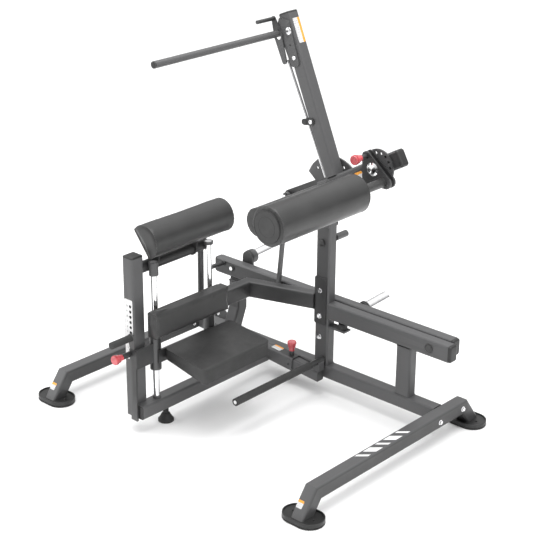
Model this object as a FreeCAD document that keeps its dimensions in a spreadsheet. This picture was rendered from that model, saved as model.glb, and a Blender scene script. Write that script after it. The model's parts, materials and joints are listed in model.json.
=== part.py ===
import FreeCAD, Part
import math
import os
import re
import Sketcher

# A plate-loaded standing abdominal machine: tubular base, column, rocking arm with rollers,
# weight lever, and a pad mast with a height-adjustable step and shin pad.
# Millimetres. +Z is up, +X points at the front stabiliser, the user stands on the -Y side.
# Heights are above the floor; the other places are measured from the base beam's middle.

SIZES = {
    "shift_x": 3, "shift_y": 274.45,
    "tube_wall": 2.5, "tube_corner": 9, "base_tube": 60, "beam_tall": 75, "beam_wide": 50,
    "base_low": 69, "front_x": 712, "rear_x": -718, "leg_lean": 37, "leg_left": -827, "leg_right": 120,
    "foot_long": 180, "foot_wide": 122, "foot_reach": 56, "sole_thick": 8, "foot_thick": 16,
    "foot_rim": 6, "foot_floor": 10,
    "cross_x": -233, "cross_end": -848, "level_y": -689, "level_hole": 12.1,
    "column_x": 63, "column_top": 872, "side_plate_thick": 6,
    "pivot_x": 70, "pivot_z": 923, "axle_rad": 12.5, "fit_gap": 0.05, "ear_rad": 34, "ear_thick": 5,
    "beam_z": 390.5, "beam_end": 735, "cap_long": 14, "post_x": 511.5,
    "lever_gap": 9, "lever_x": 641, "lever_end": 94, "lever_tail": -629, "lever_axle_rad": 10,
    "horn_rad": 24, "horn_back_x": -479, "horn_front_x": 205, "horn_back_z": 451, "horn_front_z": 400,
    "horn_back_long": 288.8, "horn_front_long": 147, "horn_lift": 3.5, "collar_rad": 32, "collar_long": 30,
    "horn_plate": 10, "horn_chamfer": 4,
    "peg_x": -588, "peg_long": 76, "peg_rad": 10,
    "stop_x": -516, "stop_y": 59, "stop_wide": 62, "stop_bend": 207, "stop_lean": 22, "rubber_thick": 12,
    "bumper_x": 165, "bumper_rad": 20, "bumper_low": 320,
    "brace_z": 420.5, "brace_x": -290, "brace_y": -115, "brace_end": -446,
    "mast_x": -273, "mast_deep": 63, "mast_top": 778, "mast_bar_rad": 24, "mast_bar_z": 718,
    "mast_bar_end": -404, "far_post_y": -421, "far_post_rad": 13,
    "rod_rad": 14, "rod_near_y": -740, "rod_far_y": -421, "rod_top": 744,
    "socket_rad": 20, "socket_low": 687, "far_socket_low": 732, "ring_rad": 17, "ring_thick": 11,
    "torso_x": -241, "torso_z": 836, "torso_rad": 75, "torso_flat": 18, "torso_tilt": 38.8,
    "torso_near": -785, "torso_long": 455, "torso_edge": 6, "board_thick": 12, "board_half": 64,
    "rib_thick": 6, "rail_tilt": 5, "rail_wide": 46, "rail_tall": 52, "rail_y": -59, "rail_front": 92,
    "rail_z": 91, "rail_long": 286, "sleeve_gap": 0.6, "sleeve_wall": 5.4, "sleeve_long": 140,
    "rail_pin_back": 168,
    "foot_bar_x": 80, "foot_bar_z": 158, "foot_bar_rad": 13, "foot_bar_near": -590,
    "grip_rad": 16.5, "foot_grip_long": 470,
    "slide_rad": 24, "slide_low": 265, "slide_top": 462, "slide_bush": 14.6,
    "shin_front": -150, "shin_back": -204, "shin_near": -811, "shin_long": 430, "shin_low": 437,
    "shin_tall": 117, "shin_corner": 9,
    "step_back": -204, "step_front": 35, "step_near": -719, "step_long": 395, "step_back_z": 360,
    "step_front_z": 333, "step_skirt": 66, "step_back_skirt": 46, "step_wall": 4, "step_corner": 22,
    "step_lip": 13,
    "pull_x": -262, "pull_z": 361.75, "hole_pitch": 23.25, "hole_count": 10,
    "hole_rad": 6.5, "grip_x": -255, "grip_z": 437, "grip_near": -964, "bar_face": -850,
    "boom_tilt": 29.8, "boom_x": 350.3, "boom_z": 1109.4, "boom_wide": 49, "boom_up": 103, "boom_down": 361,
    "arm_tilt": 22.9, "arm_foot_x": 60, "arm_foot_z": 1100, "arm_down": 150, "arm_up": 598,
    "handle_x": -195, "handle_z": 1569, "handle_rad": 14.5, "handle_near": -750, "bracket_thick": 6,
    "hub_rad": 15, "hub_cap_rad": 28, "roller_x": 405, "roller_z": 1066, "roller_rad": 80,
    "roller_near": -758, "roller_long": 516, "roller_bar_rad": 19, "back_roller_x": 266,
    "back_roller_z": 1020, "back_roller_rad": 60, "back_roller_near": -662, "back_roller_long": 440,
    "back_bar_rad": 12.5, "roller_plate_thick": 8, "front_plate_y": -60, "back_plate_y": -34,
    "dial_rad": 76, "dial_hole_ring": 60, "dial_hole_rad": 6, "dial_pin_angle": 128, "dial_step": 24,
    "pin_barrel": 32,
    "sector_rad": 153, "sector_holes": 125, "sector_hole_rad": 6.5, "sector_thick": 8,
    "link_x": -183, "link_z": 842, "link_low_x": -228, "link_low_z": 393, "link_y": 17,
    "sector_arm_rad": 72,
    "link_rad": 8, "link_pin_rad": 8, "link_slack": 9,
    "latch_rad": 7, "latch_lean": 2.5, "latch_x": 60.5, "latch_y": -12, "latch_z": 994,
    "latch_long": 514, "latch_travel": 12,
    "latch_tip_x": -154, "latch_tip_z": 1458, "trigger_x": -218, "trigger_z": 1629, "trigger_near": -142,
    "clip_x": -8, "clip_z": 1226, "latch_guide_x": -46, "latch_guide_z": 1218,
    "knob_rad": 20, "knob_neck": 13,
}

BASE_TOP = "(base_low + base_tube)"
BASE_MID = "(base_low + base_tube/2)"
LEVER_NEAR = "(beam_wide/2 + lever_gap)"
LEVER_MID = "(beam_wide + lever_gap)"
SECTOR_NEAR = "(beam_wide/2 + ear_thick + 1.5)"
X_AXIS = FreeCAD.Vector(1, 0, 0)
Y_AXIS = FreeCAD.Vector(0, 1, 0)
Z_AXIS = FreeCAD.Vector(0, 0, 1)

# Which way a piece's own Z axis points once it is placed: an axis and an angle to turn it by.
UP = (Z_AXIS, "0")
TO_FRONT = (Y_AXIS, "90")
TO_BACK = (-Y_AXIS, "90")
TO_FAR = (-X_AXIS, "90")
TO_NEAR = (X_AXIS, "90")

doc = FreeCAD.newDocument("abdominal_machine")
sheet = doc.addObject("Spreadsheet::Sheet", "Dim")
for row, (alias, size) in enumerate(SIZES.items(), start=1):
    sheet.set(f"A{row}", alias)
    sheet.set(f"B{row}", str(size))
    sheet.setAlias(f"B{row}", alias)
doc.recompute()
nodes = []


# ---- expressions, placing and the small set of shapes that everything is made of ----

def terms(text):
    """The text with each dimension's name written as the sheet's cell."""
    return re.sub(r"[a-z_]+", lambda word: ("Dim." if word.group() in SIZES else "") + word.group(), text)


def bind(item, prop, text):
    item.setExpression(prop, terms(text))


def value(text):
    return float(sheet.evalExpression(terms(text)))


def place(item, x, y, z, heading=UP):
    axis, angle = heading
    item.Placement = FreeCAD.Placement(FreeCAD.Vector(), FreeCAD.Rotation(axis, value(angle)))
    if angle != "0":
        bind(item, "Placement.Rotation.Angle", angle)
    bind(item, "Placement.Base.x", f"shift_x + {x}")
    bind(item, "Placement.Base.y", f"shift_y + {y}")
    bind(item, "Placement.Base.z", z)
    return item


def node(label, item):
    item.Label = label
    nodes.append(item)
    return item


def new_sketch(body, role):
    sketch = body.newObject("Sketcher::SketchObject", body.Name + "_sketch")
    plane = next(item for item in body.Origin.OriginFeatures if item.Role == role)
    sketch.AttachmentSupport = [(plane, "")]
    sketch.MapMode = "FlatFace"
    return sketch


def fix_point(sketch, geometry, point, across, up):
    """Hold one point of a sketch at (across, up), bound to the sheet."""
    for kind, axis, text in (("DistanceX", -2, across), ("DistanceY", -1, up)):
        size = value(text)
        if abs(size) < 1e-6:
            sketch.addConstraint(Sketcher.Constraint("PointOnObject", geometry, point, axis))
            continue
        index = sketch.addConstraint(Sketcher.Constraint(kind, -1, 1, geometry, point, size))
        bind(sketch, f"Constraints[{index}]", text)


def fix_radius(sketch, geometry, text):
    index = sketch.addConstraint(Sketcher.Constraint("Radius", geometry, value(text)))
    bind(sketch, f"Constraints[{index}]", text)


def add_circle(sketch, across, up, radius):
    circle = Part.Circle(FreeCAD.Vector(value(across), value(up), 0), Z_AXIS, value(radius))
    geometry = sketch.addGeometry(circle)
    fix_point(sketch, geometry, 3, across, up)
    fix_radius(sketch, geometry, radius)


def add_band(sketch, circles):
    """A closed band stretched round circles (across, up, radius), which run anticlockwise."""
    if len(circles) == 1:
        add_circle(sketch, *circles[0])
        return
    centres = [FreeCAD.Vector(value(across), value(up), 0) for across, up, radius in circles]
    radii = [value(radius) for across, up, radius in circles]
    count = len(circles)
    normals = []
    for index in range(count):
        following = (index + 1) % count
        along = centres[following] - centres[index]
        lean = (radii[index] - radii[following]) / along.Length
        along.normalize()
        outward = FreeCAD.Vector(along.y, -along.x, 0)
        normals.append(along * lean + outward * math.sqrt(1 - lean * lean))
    first = sketch.GeometryCount
    for index in range(count):
        following = (index + 1) % count
        begin = math.atan2(normals[index - 1].y, normals[index - 1].x)
        end = math.atan2(normals[index].y, normals[index].x)
        if end <= begin:
            end += 2 * math.pi
        circle = Part.Circle(centres[index], Z_AXIS, radii[index])
        sketch.addGeometry(Part.ArcOfCircle(circle, begin, end))
        sketch.addGeometry(Part.LineSegment(
            centres[index] + normals[index] * radii[index],
            centres[following] + normals[index] * radii[following]))
    for index, (across, up, radius) in enumerate(circles):
        arc = first + 2 * index
        next_arc = first + 2 * ((index + 1) % count)
        sketch.addConstraint(Sketcher.Constraint("Tangent", arc, 2, arc + 1, 1))
        sketch.addConstraint(Sketcher.Constraint("Tangent", arc + 1, 2, next_arc, 1))
        fix_point(sketch, arc, 3, across, up)
        fix_radius(sketch, arc, radius)


def rectangle(across, deep, corner, middle=("0", "0")):
    """The four corner circles of a rounded rectangle."""
    signs = ((-1, -1), (1, -1), (1, 1), (-1, 1))
    return [(f"{middle[0]} + {side}*({across}/2 - {corner})",
             f"{middle[1]} + {end}*({deep}/2 - {corner})", corner) for side, end in signs]


def plate(name, bands, thick, x, y, z, heading=UP):
    """Bands in the piece's XY plane, padded along its Z; a band inside another is a hole."""
    body = doc.addObject("PartDesign::Body", name)
    sketch = new_sketch(body, "XY_Plane")
    for band in bands:
        add_band(sketch, band)
    pad = body.newObject("PartDesign::Pad", name + "_pad")
    pad.Profile = sketch
    bind(pad, "Length", thick)
    return place(body, x, y, z, heading)


def tube(name, across, deep, length, x, y, z, heading=UP, wall="tube_wall", corner="tube_corner"):
    outside = rectangle(across, deep, corner)
    inside = rectangle(f"({across} - 2*{wall})", f"({deep} - 2*{wall})", f"({corner} - {wall})")
    return plate(name, [outside, inside], length, x, y, z, heading)


def ring(name, outer, inner, length, x, y, z, heading=UP):
    return plate(name, [[("0", "0", outer)], [("0", "0", inner)]], length, x, y, z, heading)


def rod(name, radius, length, x, y, z, heading=UP):
    item = doc.addObject("Part::Cylinder", name)
    bind(item, "Radius", radius)
    bind(item, "Height", length)
    return place(item, x, y, z, heading)


def box(name, size_x, size_y, size_z, x, y, z, heading=UP):
    item = doc.addObject("Part::Box", name)
    bind(item, "Length", size_x)
    bind(item, "Width", size_y)
    bind(item, "Height", size_z)
    return place(item, x, y, z, heading)


def turned(name, profile, x, y, z, heading=UP):
    """A profile of (radius, along) points turned about the piece's Z axis."""
    body = doc.addObject("PartDesign::Body", name)
    sketch = new_sketch(body, "XZ_Plane")
    corners = [FreeCAD.Vector(value(out), value(along), 0) for out, along in profile]
    count = len(corners)
    for index in range(count):
        sketch.addGeometry(Part.LineSegment(corners[index], corners[(index + 1) % count]))
    for index, (out, along) in enumerate(profile):
        sketch.addConstraint(Sketcher.Constraint("Coincident", index, 2, (index + 1) % count, 1))
        fix_point(sketch, index, 1, out, along)
    turn = body.newObject("PartDesign::Revolution", name + "_turn")
    turn.Profile = sketch
    turn.ReferenceAxis = (sketch, ["V_Axis"])
    turn.Angle = 360
    return place(body, x, y, z, heading)


def fuse(name, pieces):
    item = doc.addObject("Part::MultiFuse", name)
    item.Shapes = pieces
    item.Refine = True
    return item


def cut(name, base, tools):
    item = doc.addObject("Part::Cut", name)
    item.Base = base
    item.Tool = tools[0] if len(tools) == 1 else fuse(name + "_tools", tools)
    return item


def common(name, pieces):
    item = doc.addObject("Part::MultiCommon", name)
    item.Shapes = pieces
    return item


def group(name, pieces):
    item = doc.addObject("Part::Compound", name)
    item.Links = pieces
    return item


def sweep(name, points, section, side):
    """Part's own sweep of a (across, deep, corner, wall) tube along joined straight runs and bends.

    points are (x, y, z, bend radius) texts; a bend of 0 is a mitre. The section's across
    direction starts along side. A corner as large as half the section makes a round tube.
    """
    spots = [FreeCAD.Vector(*(value(text) for text in point[:3])) for point in points]
    edges = []
    start = spots[0]
    for index in range(1, len(spots) - 1):
        before = (spots[index - 1] - spots[index]).normalize()
        after = (spots[index + 1] - spots[index]).normalize()
        half_turn = (math.pi - before.getAngle(after)) / 2
        reach = value(points[index][3]) * math.tan(half_turn)
        leave, arrive = spots[index] + before * reach, spots[index] + after * reach
        edges.append(Part.LineSegment(start, leave).toShape())
        if reach > 0:
            inward = (before + after).normalize()
            bend = value(points[index][3])
            middle = spots[index] + inward * (bend / math.cos(half_turn) - bend)
            edges.append(Part.Arc(leave, middle, arrive).toShape())
        start = arrive
    edges.append(Part.LineSegment(start, spots[-1]).toShape())
    spine = Part.Wire(edges)
    ahead = (spots[1] - spots[0]).normalize()
    turn = FreeCAD.Rotation(side, ahead.cross(side), ahead, "ZXY")
    across, deep, corner, wall = (value(text) for text in section)
    solids = []
    for inset in (0, wall):
        solids.append(spine.makePipeShell(
            [section_wire(across - 2 * inset, deep - 2 * inset, corner - inset, spots[0], turn)],
            True, False, 1))
    item = doc.addObject("Part::Feature", name)
    item.Shape = solids[0].cut(solids[1])
    return place(item, "0", "0", "0")


def section_wire(across, deep, corner, at, turn):
    """A rounded rectangle, or a circle when the corners meet, as a wire in space."""
    if abs(across - 2 * corner) < 1e-6:
        wire = Part.Wire(Part.Circle(FreeCAD.Vector(), Z_AXIS, corner).toShape())
    else:
        box_shape = Part.makeBox(across, deep, corner, FreeCAD.Vector(-across / 2, -deep / 2, 0))
        uprights = [edge for edge in box_shape.Edges if abs(edge.tangentAt(edge.FirstParameter).z) > 0.9]
        rounded = box_shape.makeFillet(corner, uprights)
        floor = next(face for face in rounded.Faces if face.CenterOfMass.z < 1e-6)
        wire = floor.OuterWire
    wire.Placement = FreeCAD.Placement(at, turn)
    return wire


def bolt(name, radius, x, y, z, heading):
    """A washer and a hexagon head, seated on the face at (x, y, z)."""
    washer = rod(name + "_washer", f"{radius}*1.25", f"{radius}*0.2", x, y, z, heading)
    head = doc.addObject("Part::Prism", name + "_head")
    head.Polygon = 6
    bind(head, "Circumradius", radius)
    bind(head, "Height", f"{radius}*0.85")
    place(head, x, y, z, heading)
    return fuse(name, [washer, head])


def pull_knob(x, y, z, heading, reach, tip):
    """A pop-pin's moving part: plunger, stem and flared red knob, from its seat outwards."""
    profile = [("0", f"-({tip})"), ("5", f"-({tip})"), ("6", f"1 - ({tip})"), ("6", f"{reach}"),
               ("knob_neck - 1", f"{reach}"), ("knob_neck", f"{reach} + 1"), ("knob_neck", f"{reach} + 14"),
               ("knob_rad - 3", f"{reach} + 17"), ("knob_rad", f"{reach} + 42"),
               ("knob_rad - 2", f"{reach} + 45"), ("0", f"{reach} + 45")]
    return turned("pull_knob", profile, x, y, z, heading)


# ---- base ----

def base():
    node("base_beam", tube("base_beam_tube", "base_tube", "base_tube", "(front_x - rear_x - base_tube)",
                           "rear_x + base_tube/2", "0", BASE_MID, TO_FRONT))
    drop = f"({BASE_MID} + 30)"
    floor = "(sole_thick + foot_floor)"
    for label, middle in (("front_stabiliser", "front_x"), ("rear_stabiliser", "rear_x")):
        spread = f"({drop}*tan(leg_lean))"
        path = [(middle, f"leg_left - {spread}", "-30", "0"), (middle, "leg_left", BASE_MID, "0"),
                (middle, "leg_right", BASE_MID, "0"), (middle, f"leg_right + {spread}", "-30", "0")]
        bent = sweep(label + "_bent", path, ("base_tube", "base_tube", "tube_corner", "tube_wall"), X_AXIS)
        below = box(label + "_below", "200", "1600", "100", f"{middle} - 100", "-1200", f"{floor} - 100")
        node(label, cut(label + "_cut", bent, [below]))
    shells = []
    soles = []
    for middle in ("front_x", "rear_x"):
        for y in ("leg_left - foot_reach", "leg_right + foot_reach"):
            oval = [("(foot_wide - foot_long)/2", "0", "foot_wide/2"),
                    ("(foot_long - foot_wide)/2", "0", "foot_wide/2")]
            tray = [(across, up, f"({radius} - foot_rim)") for across, up, radius in oval]
            block = plate("foot_block", [oval], "foot_thick", middle, y, "sole_thick")
            well = plate("foot_well", [tray], "foot_thick", middle, y, floor)
            shells.append(cut("foot_shell", block, [well]))
            sole = [(across, up, f"({radius} - 2)") for across, up, radius in oval]
            soles.append(plate("foot_sole", [sole], "sole_thick", middle, y, "0"))
    node("foot_shells", group("foot_shell_group", shells))
    node("foot_soles", group("foot_sole_group", soles))
    cross = tube("cross_tube", "base_tube", "base_tube", "(-base_tube/2 - cross_end - 3)",
                 "cross_x", "cross_end + 3", BASE_MID, TO_FAR)
    hole = rod("level_hole_tool", "level_hole", "20", "cross_x", "level_y", "base_low - 10")
    node("low_cross_tube", cut("cross_cut", cross, [hole]))
    screw = [("0", "0"), ("34", "0"), ("34", "9"), ("30", "13"), ("17", "36"), ("12", "38"),
             ("12", "84"), ("0", "84")]
    node("leveling_foot", turned("leveling_foot_turned", screw, "cross_x", "level_y", "0"))


def column():
    tall = tube("column_tube", "beam_tall", "beam_wide", f"column_top - {BASE_TOP}",
                "column_x", "0", BASE_TOP)
    ears = []
    for y in ("-beam_wide/2", "beam_wide/2 + ear_thick"):
        band = [("column_x - 30", "column_top - 90", "6"), ("column_x + 30", "column_top - 90", "6"),
                ("pivot_x", "pivot_z", "ear_rad")]
        ears.append(plate("column_ear", [band, [("pivot_x", "pivot_z", "axle_rad + fit_gap")]],
                          "ear_thick", "0", y, "0", TO_NEAR))
    shelf = box("bumper_shelf", "90", "44", "8", "column_x + beam_tall/2", "-22", "bumper_low - 8")
    peg = rod("column_peg", "15", "70", "column_x + 28", "beam_wide/2", "720", TO_FAR)
    node("column", fuse("column_weld", [tall, *ears, shelf, peg]))
    node("side_plate", plate("side_plate_pad", [rectangle("65", "221", "8", ("58.5", "431.5"))],
                             "side_plate_thick", "0", "-beam_wide/2", "0", TO_NEAR))
    front = tube("front_beam_tube", "beam_tall", "beam_wide", "beam_end - column_x - beam_tall/2",
                 "column_x + beam_tall/2", "0", "beam_z", TO_FRONT)
    bore = rod("front_beam_bore", "lever_axle_rad + fit_gap", "beam_wide + 4", "lever_x",
               "-beam_wide/2 - 2", "beam_z", TO_FAR)
    node("front_beam", cut("front_beam_drilled", front, [bore]))
    node("front_post", tube("front_post_tube", "beam_tall", "beam_wide",
                            f"beam_z - beam_tall/2 - {BASE_TOP}", "post_x", "0", BASE_TOP))
    axle = [("0", "-8"), ("14", "-8"), ("19", "-4"), ("19", "0"), ("lever_axle_rad", "0"),
            ("lever_axle_rad", "117"), ("17", "117"), ("17", "126"), ("0", "126")]
    node("lever_pivot_axle", turned("lever_axle_turned", axle, "lever_x", "-beam_wide/2", "beam_z", TO_FAR))
    shaft = [("0", "-9"), ("19", "-9"), ("19", "0"), ("axle_rad", "0"), ("axle_rad", "81"),
             ("20", "81"), ("20", "90"), ("0", "90")]
    node("pivot_axle", turned("pivot_axle_turned", shaft, "pivot_x", "-beam_wide/2 - ear_thick",
                              "pivot_z", TO_FAR))
    cushion = rod("bumper", "bumper_rad", "26", "bumper_x", "0", "bumper_low")
    rest = box("stop_rubber", "56", "42", "rubber_thick", "stop_x - 28", "stop_y - 21",
               "beam_z - beam_tall/2 - rubber_thick - 0.5")
    node("rubber_stops", group("rubber_stop_group", [cushion, rest]))


def lever_stop():
    top = "(beam_z - beam_tall/2 - rubber_thick - 0.5)"
    low = "(base_low + 12)"
    path = [("stop_x", f"stop_y - (stop_bend - {low})*tan(stop_lean)", low, "0"),
            ("stop_x", "stop_y", "stop_bend", "0"), ("stop_x", "stop_y", f"{top} - 6", "0")]
    post = sweep("stop_tube", path, ("stop_wide", "stop_wide", "tube_corner", "tube_wall"), X_AXIS)
    beam = box("stop_beam_space", "200", "2*base_tube", "base_tube + 60", "stop_x - 100", "-1.5*base_tube",
               "base_low - 60")
    top_plate = box("stop_top_plate", "64", "56", "6", "stop_x - 32", "stop_y - 28", f"{top} - 6")
    node("stop_post", fuse("stop_post_weld", [cut("stop_tube_cut", post, [beam]), top_plate]))


def brace():
    path = [("column_x - beam_tall/2 + 12", "-8", "brace_z", "0"),
            ("brace_x", "brace_y", "brace_z", "0"), ("brace_x", "brace_end", "brace_z", "0")]
    bent = sweep("brace_bent", path, ("beam_tall", "beam_wide", "tube_corner", "tube_wall"), Z_AXIS)
    space = box("brace_column_space", "beam_tall", "200", "200", "column_x - beam_tall/2", "-100",
                "brace_z - 100")
    post = rod("far_post", "far_post_rad", "mast_bar_z - mast_bar_rad - brace_z - beam_tall/2",
               "mast_x - 8", "far_post_y", "brace_z + beam_tall/2")
    node("rear_brace", fuse("brace_weld", [cut("brace_cut", bent, [space]), post]))


# ---- pad mast ----

def torso(along, out):
    """A place on the torso pad's end, along its flat back and out from its round's centre."""
    return (f"torso_x + ({along})*sin(torso_tilt) + ({out})*cos(torso_tilt)",
            f"torso_z - ({along})*cos(torso_tilt) + ({out})*sin(torso_tilt)")


def mast():
    near = "(cross_end + mast_deep)"
    tall = tube("mast_tube", "base_tube", "mast_deep", "mast_top - base_low",
                "mast_x", "cross_end + mast_deep/2", "base_low")
    cross_space = box("mast_cross_space", "base_tube + 2", "mast_deep + 4", "base_tube",
                      "cross_x - base_tube/2", "cross_end - 2", "base_low")
    holes = [rod("height_hole", "hole_rad", "12", "pull_x", "cross_end - 4", f"pull_z + {step}*hole_pitch",
                 TO_FAR)
             for step in range(SIZES["hole_count"])]
    node("mast_post", cut("mast_notched", tall, [cross_space, *holes]))
    bar = ring("mast_bar", "mast_bar_rad", "mast_bar_rad - tube_wall", f"mast_bar_end - {near}",
               "mast_x", near, "mast_bar_z", TO_FAR)
    bar_space = rod("mast_bar_space", "mast_bar_rad - 1", "500", "mast_x", near, "mast_bar_z", TO_FAR)
    back = "(-torso_flat - board_thick)"
    ribs = []
    for y in ("-700", "-480"):
        corners = [(*torso("-50", f"{back} - 4"), "4"), ("mast_x", "mast_bar_z", "mast_bar_rad + 5"),
                   (*torso("50", f"{back} - 4"), "4")]
        blank = plate("rib_blank", [corners], "rib_thick", "0", y, "0", TO_NEAR)
        ribs.append(cut("rib", blank, [bar_space]))
    node("mast_cross_tube", fuse("mast_bar_weld", [bar, *ribs]))
    edge = "(torso_rad - torso_edge)"
    outline = [(*torso(f"-{edge}", "torso_edge - torso_flat"), "torso_edge"),
               (*torso(edge, "torso_edge - torso_flat"), "torso_edge"), ("torso_x", "torso_z", "torso_rad")]
    node("torso_pad", plate("torso_pad_pad", [outline], "torso_long", "0", "torso_near + torso_long",
                            "0", TO_NEAR))
    board = [(*torso(f"{side}*board_half", f"{depth}"), "2") for side, depth in
             ((-1, f"{back} + 2"), (1, f"{back} + 2"), (1, "-torso_flat - 2"), (-1, "-torso_flat - 2"))]
    node("torso_pad_board", plate("torso_board_pad", [board], "torso_long - 24", "0",
                                  "torso_near + torso_long - 12", "0", TO_NEAR))
    rods = []
    fittings = []
    for y in ("rod_near_y", "rod_far_y"):
        rods.append(rod("guide_rod", "rod_rad", f"rod_top - {BASE_TOP}", "cross_x", y, BASE_TOP))
        low = "socket_low" if y == "rod_near_y" else "far_socket_low"
        collar = ring("rod_socket", "socket_rad", "rod_rad + 0.3", f"rod_top - {low}", "cross_x", y, low)
        fittings.append(cut("rod_socket_cut", collar, [
            rod("rod_socket_space", "mast_bar_rad + 0.1", "500", "mast_x", near, "mast_bar_z", TO_FAR)]))
        fittings.append(ring("rod_ring", "ring_rad", "rod_rad + 0.3", "ring_thick", "cross_x", y, BASE_TOP))
    node("guide_rods", group("guide_rod_pair", rods))
    node("rod_sockets", group("rod_socket_set", fittings))


def frame_caps():
    """Plastic end caps: front beam, low cross tube and mast post."""
    front = plate("front_beam_cap", [rectangle("(beam_tall - 1)", "(beam_wide - 1)", "12")], "cap_long",
                  "beam_end", "0", "beam_z", TO_FRONT)
    cross = plate("cross_cap", [rectangle("base_tube", "base_tube", "tube_corner")], "3",
                  "cross_x", "cross_end + 3", BASE_MID, TO_NEAR)
    top = [("0", "0"), ("29", "0"), ("29", "3"), ("26", "7"), ("0", "8")]
    post = plate("mast_cap", [rectangle("base_tube", "mast_deep", "tube_corner")], "7",
                 "mast_x", "cross_end + mast_deep/2", "mast_top")
    plug = turned("column_plug", top, "column_x - 3", "-beam_wide/2", "702", TO_NEAR)
    brace = plate("brace_cap", [rectangle("(beam_tall - 1)", "(beam_wide - 1)", "12")], "4", "brace_x",
                  "brace_end", "brace_z", (FreeCAD.Vector(1, 0, 0), "90"))
    far = plate("mast_bar_cap", [[("0", "0", "mast_bar_rad")]], "4", "mast_x", "mast_bar_end",
                "mast_bar_z", TO_FAR)
    node("frame_caps", group("frame_cap_set", [front, cross, post, far, brace,
                                               common("column_plug_small", [plug, rod(
                                                   "plug_limit", "15", "10", "column_x - 3",
                                                   "-beam_wide/2", "702", TO_NEAR)])]))


def frame_fasteners():
    face = "front_x + base_tube/2"
    chrome = [bolt("stabiliser_bolt", "9", face, y, BASE_MID, TO_FRONT) for y in ("-60", "100")]
    chrome.append(bolt("rear_bolt", "9", "rear_x - base_tube/2", "0", BASE_MID, TO_BACK))
    chrome.append(bolt("column_bolt", "10", "54", "-beam_wide/2", "259", TO_NEAR))
    node("frame_bolts", group("frame_bolt_set", chrome))
    plate_face = "-beam_wide/2 - side_plate_thick"
    dark = [bolt("side_plate_bolt", "9", "58", plate_face, z, TO_NEAR) for z in ("359", "480")]
    node("plate_bolts", group("plate_bolt_set", dark))


# ---- sliding foot bar ----

RAIL = (Y_AXIS, "90 + rail_tilt")


def rail_spot(back):
    """A place on the foot rail's centre line, back from its front end."""
    return (f"rail_front - ({back})*cos(rail_tilt)", "rail_y", f"rail_z + ({back})*sin(rail_tilt)")


def foot_rail():
    inner_tall = "(rail_tall + 2*sleeve_gap)"
    inner_wide = "(rail_wide + 2*sleeve_gap)"
    start = rail_spot("rail_long - 2")
    outside = rectangle(f"({inner_tall} + 2*sleeve_wall)", f"({inner_wide} + 2*sleeve_wall)", "tube_corner")
    inside = rectangle(inner_tall, inner_wide, "(tube_corner - 3)")
    sleeve = plate("sleeve_tube", [outside, inside], "sleeve_long", *start, RAIL)
    pin_x, pin_y, pin_z = rail_spot("rail_pin_back")
    seat = f"{pin_z} + rail_tall/2"
    barrel = ring("rail_pin_barrel", "11", "6.3", "26", pin_x, pin_y, seat)
    space = rod("sleeve_pin_space", "6.3", "60", pin_x, pin_y, f"{seat} - 20")
    node("rail_sleeve", cut("sleeve_drilled", fuse("sleeve_weld", [
        cut("sleeve_barrel_cut", barrel, [plate("sleeve_space", [inside], "sleeve_long", *start, RAIL)]),
        sleeve]), [space]))
    straight = tube("rail_tube", "rail_tall", "rail_wide", "rail_long", *rail_spot("rail_long"), RAIL)
    hole = rod("rail_pin_hole", "6.6", "40", pin_x, pin_y, f"{pin_z} + rail_tall/2 - 30")
    saddle_low = "rail_z + rail_tall/2 - 2"
    saddle = box("saddle_block", "36", "rail_wide - 10", "foot_bar_z - rail_z - rail_tall/2 + 2",
                 "foot_bar_x - 18", "rail_y - rail_wide/2 + 5", saddle_low)
    bar_space = rod("saddle_bar_space", "foot_bar_rad + 0.1", "200", "foot_bar_x", "-140", "foot_bar_z", TO_FAR)
    rail_space = plate("saddle_rail_space", [rectangle("(rail_tall - 1)", "(rail_wide + 40)", "tube_corner")],
                       "rail_long + 60", *rail_spot("rail_long"), RAIL)
    plug = rectangle("(rail_tall - 2*tube_wall + 1)", "(rail_wide - 2*tube_wall + 1)", "(tube_corner - 2)")
    plugs = [plate("rail_plug", [plug], "4", *rail_spot(back), RAIL) for back in ("rail_long", "5")]
    node("foot_rail", fuse("rail_weld", [cut("rail_drilled", straight, [hole]), *plugs,
                                         cut("saddle", saddle, [bar_space, rail_space])]))
    node("foot_bar", rod("foot_bar_rod", "foot_bar_rad", "-beam_wide/2 - 3 - foot_bar_near - 4",
                         "foot_bar_x", "foot_bar_near + 4", "foot_bar_z", TO_FAR))
    grip = ring("foot_grip_ring", "grip_rad", "foot_bar_rad + 0.05", "foot_grip_long", "foot_bar_x",
                "foot_bar_near + 4", "foot_bar_z", TO_FAR)
    end = rod("foot_grip_end", "grip_rad", "4", "foot_bar_x", "foot_bar_near", "foot_bar_z", TO_FAR)
    node("foot_bar_grip", fuse("foot_grip_moulding", [grip, end]))
    node("rail_pin", pull_knob(pin_x, pin_y, seat, UP, "28", "-4"))


# ---- step and shin pad carriage ----

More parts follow.
